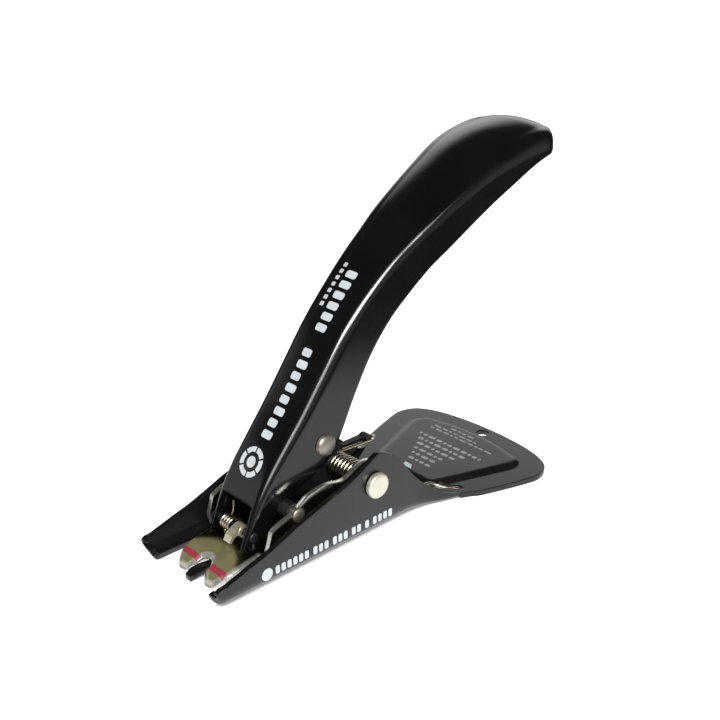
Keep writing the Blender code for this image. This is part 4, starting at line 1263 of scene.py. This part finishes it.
def print_handle():
    # six ring segments about a dot, then a row of blocks in two groups
    shapes = []
    for k in range(6):
        start, end = 60 * k + 4, 60 * k + 56
        shapes.append(arc(*HANDLE_RING, 2.65, start, end, 8)
                      + arc(*HANDLE_RING, 1.75, end, start, 8))
    shapes.append(arc(*HANDLE_RING, 1.0, 0, 345, 23))
    shapes += [block(18.7 + 2.16 * k, 1.4, -0.9, (1.5, 1.2)[k % 2], 0.4) for k in range(8)]
    shapes += [block(38.6 + 2.06 * k, 1.35, -0.75, 1.7, 0.4) for k in range(6)]
    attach(printed("handle_print", shapes, on_handle, WHITE_INK), "lever")
    # a short row of small blocks beside them
    shapes = [block(42.8 + 1.3 * k, 0.8, -2.7, -1.75, 0.2) for k in range(7)]
    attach(printed("handle_fine_print", shapes, on_handle, WHITE_INK, cell=0.5), "lever")


def print_wall():
    # a dot and, behind it, groups of blocks along the wall's lower edge
    shapes = [arc(25.0, 2.75, 1.1, 0, 345, 23)]
    front = 23.3
    for count in (6, 3, 3, 2, 1, 4):
        for _ in range(count):
            shapes.append(block(front - 0.85, 0.85, 2.0, 3.5, 0.3))
            front -= 1.22
        front -= 0.62
    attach(printed("wall_print", shapes, on_wall, WHITE_INK), "base")


def print_panel():
    # rows of dashes behind one solid mark
    dashes = []
    for row, (x, right, left, width) in enumerate(PANEL_ROWS):
        y, k = right, row
        while y < left - 0.5:
            length = min(DASH_LENGTHS[k % 4], left - y)
            dashes.append(dash(x, y + length / 2, length, width))
            y += length + 0.34
            k += 1
    rows = printed("panel_print", dashes, on_panel, GREY_INK, lift=0.02, cell=0.6)
    mark = printed("panel_mark", [PANEL_MARK], on_panel, WHITE_INK, lift=0.02, cell=0.6)
    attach(mark, "base")
    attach(rows, "base")


# ------------------------------------------------------------------ camera
CAMERA_PLACE = (111.98014112579143, 133.02223535818482, 106.31379196485716)
CAMERA_YAW, CAMERA_PITCH = -2.30048065223502, -0.4166622766891733      # radians
CAMERA_ROLL = -0.020377638033971135
CAMERA_LENS = 55.81448130279483


def add_camera():
    data = bpy.data.cameras.new("camera")
    data.sensor_width = 36.0
    data.lens = CAMERA_LENS
    data.clip_start = 0.005
    data.clip_end = 20
    camera = bpy.data.objects.new("camera", data)
    bpy.context.scene.collection.objects.link(camera)
    forward = Vector((math.cos(CAMERA_PITCH) * math.cos(CAMERA_YAW),
                      math.cos(CAMERA_PITCH) * math.sin(CAMERA_YAW), math.sin(CAMERA_PITCH)))
    level = forward.cross(Vector((0, 0, 1))).normalized()
    upright = level.cross(forward)
    right = level * math.cos(CAMERA_ROLL) + upright * math.sin(CAMERA_ROLL)
    up = -level * math.sin(CAMERA_ROLL) + upright * math.cos(CAMERA_ROLL)
    rotation = Matrix((right, up, -forward)).transposed().to_4x4()
    camera.matrix_world = Matrix.Translation(Vector(CAMERA_PLACE) * MM) @ rotation
    bpy.context.scene.camera = camera


# ------------------------------------------------------------------ floor, lights, world
def floor_material():
    """White floor. In reflections it is bright only near the tool, so that the side walls
    mirror a dark room."""
    m = Mat("floor_white")
    m.set("Roughness", 0.9)
    m.set("Specular IOR Level", 0.1)
    m.set("Emission Color", (1.0, 1.0, 1.0))
    # a soft contact shade, so the floor is dark inside the foot's hole and slot
    occlusion = m.node("ShaderNodeAmbientOcclusion", {"Distance": 0.0018}, samples=8)
    clear = m.remap(occlusion.outputs["AO"], source=(0.06, 0.48))
    m.set("Emission Strength", m.times(clear, 0.45))
    m.set("Base Color", m.mix(clear, (0.05, 0.05, 0.05), (0.92, 0.92, 0.92)))
    position = m.node("ShaderNodeNewGeometry").outputs["Position"]
    distance = m.node("ShaderNodeVectorMath", {0: position}, operation="LENGTH")
    fade = m.remap(distance.outputs["Value"], source=(0.060, 0.120), target=(1.05, 0.06),
                   smooth=True)
    glow = m.node("ShaderNodeEmission", {"Strength": fade})
    path = m.node("ShaderNodeLightPath")
    both = m.node("ShaderNodeMixShader", {0: path.outputs["Is Glossy Ray"],
                                          1: m.shader.outputs[0], 2: glow.outputs[0]})
    m.feed(m.tree.nodes["Material Output"].inputs["Surface"], both.outputs[0])
    return m.mat


def add_floor():
    half, z = 3.0, -0.00002        # metres
    mesh = bpy.data.meshes.new("floor")
    corners = [(-half, -half, z), (half, -half, z), (half, half, z), (-half, half, z)]
    mesh.from_pydata(corners, [], [(0, 1, 2, 3)])
    floor = bpy.data.objects.new("floor", mesh)
    bpy.context.scene.collection.objects.link(floor)
    coat(floor, floor_material())


def soft_box(name, azimuth, elevation, width, height, power):
    """Rectangular light on a sphere about the tool, turned to face it; degrees and metres."""
    distance = 0.9
    data = bpy.data.lights.new(name, "AREA")
    data.energy = power
    data.shape = "RECTANGLE"
    data.size = width
    data.size_y = height
    light = bpy.data.objects.new(name, data)
    bpy.context.scene.collection.objects.link(light)
    around, rise = math.radians(azimuth), math.radians(elevation)
    place = Vector((distance * math.cos(rise) * math.cos(around),
                    distance * math.cos(rise) * math.sin(around),
                    0.03 + distance * math.sin(rise)))
    light.location = place
    light.rotation_euler = (Vector((0, 0, 0.02)) - place).to_track_quat("-Z", "Y").to_euler()


def add_lights():
    soft_box("key_box", azimuth=60, elevation=36, width=0.42, height=0.22, power=7.5)
    soft_box("high_box", azimuth=76, elevation=46, width=0.24, height=0.16, power=0.6)
    soft_box("fill_box", azimuth=50, elevation=20, width=0.36, height=0.24, power=1.6)


def add_world():
    """Dark room with three soft glows, an even dome for diffuse light, white to the camera."""
    world = bpy.data.worlds.new("studio")
    bpy.context.scene.world = world
    world.use_nodes = True
    g = Graph(world.node_tree)
    direction = g.node("ShaderNodeTexCoord").outputs["Generated"]
    x, y, z = g.node("ShaderNodeSeparateXYZ", {0: direction}).outputs
    level = g.maths("SQRT", g.plus(g.times(x, x), g.times(y, y)))
    level = g.maths("MAXIMUM", level, 0.001)

    def step(value, source, target):
        return g.remap(value, source, target, smooth=True)

    def heading(toward_x, toward_y):
        """Cosine of the level angle to a heading."""
        return g.maths("DIVIDE", g.plus(g.times(x, toward_x), g.times(y, toward_y)), level)

    # beyond the tool as the camera sees it
    band = g.times(step(z, source=(-0.05, 0.30), target=(0.40, 1.0)),
                   step(z, source=(0.42, 0.66), target=(1.0, 0.0)))
    beyond = g.times(step(heading(-0.707, -0.707), source=(0.84, 0.975), target=(0.0, 1.0)),
                     band)
    # to the tool's left
    left = g.times(step(g.maths("DIVIDE", y, level), source=(0.2, 0.8), target=(0.0, 0.35)),
                   step(z, source=(0.3, 0.8), target=(1.0, 0.0)))
    # low, to the front right
    low = g.times(step(heading(0.69, -0.72), source=(0.80, 0.96), target=(0.0, 0.55)),
                  step(z, source=(0.26, 0.46), target=(1.0, 0.0)))
    glow = g.plus(g.plus(g.plus(g.times(beyond, 1.05), left), low), 0.03)
    rays = g.node("ShaderNodeLightPath").outputs
    dome_light = g.times(rays["Is Diffuse Ray"], 0.6)
    seen = rays["Is Camera Ray"]
    total = g.plus(g.times(g.plus(glow, dome_light), g.minus(1.0, seen)), seen)
    background = g.tree.nodes["Background"]
    g.feed(background.inputs["Strength"], total)
    g.feed(background.inputs["Color"], (1, 1, 1))


# ------------------------------------------------------------------ build
build_foot()
build_handle()
build_pins()
build_claw()
build_return_spring()
build_keeper_spring()
finish_cad_nodes()
print_handle()
print_wall()
print_panel()
add_camera()
add_floor()
add_lights()
add_world()
bpy.context.scene.view_settings.view_transform = "Standard"
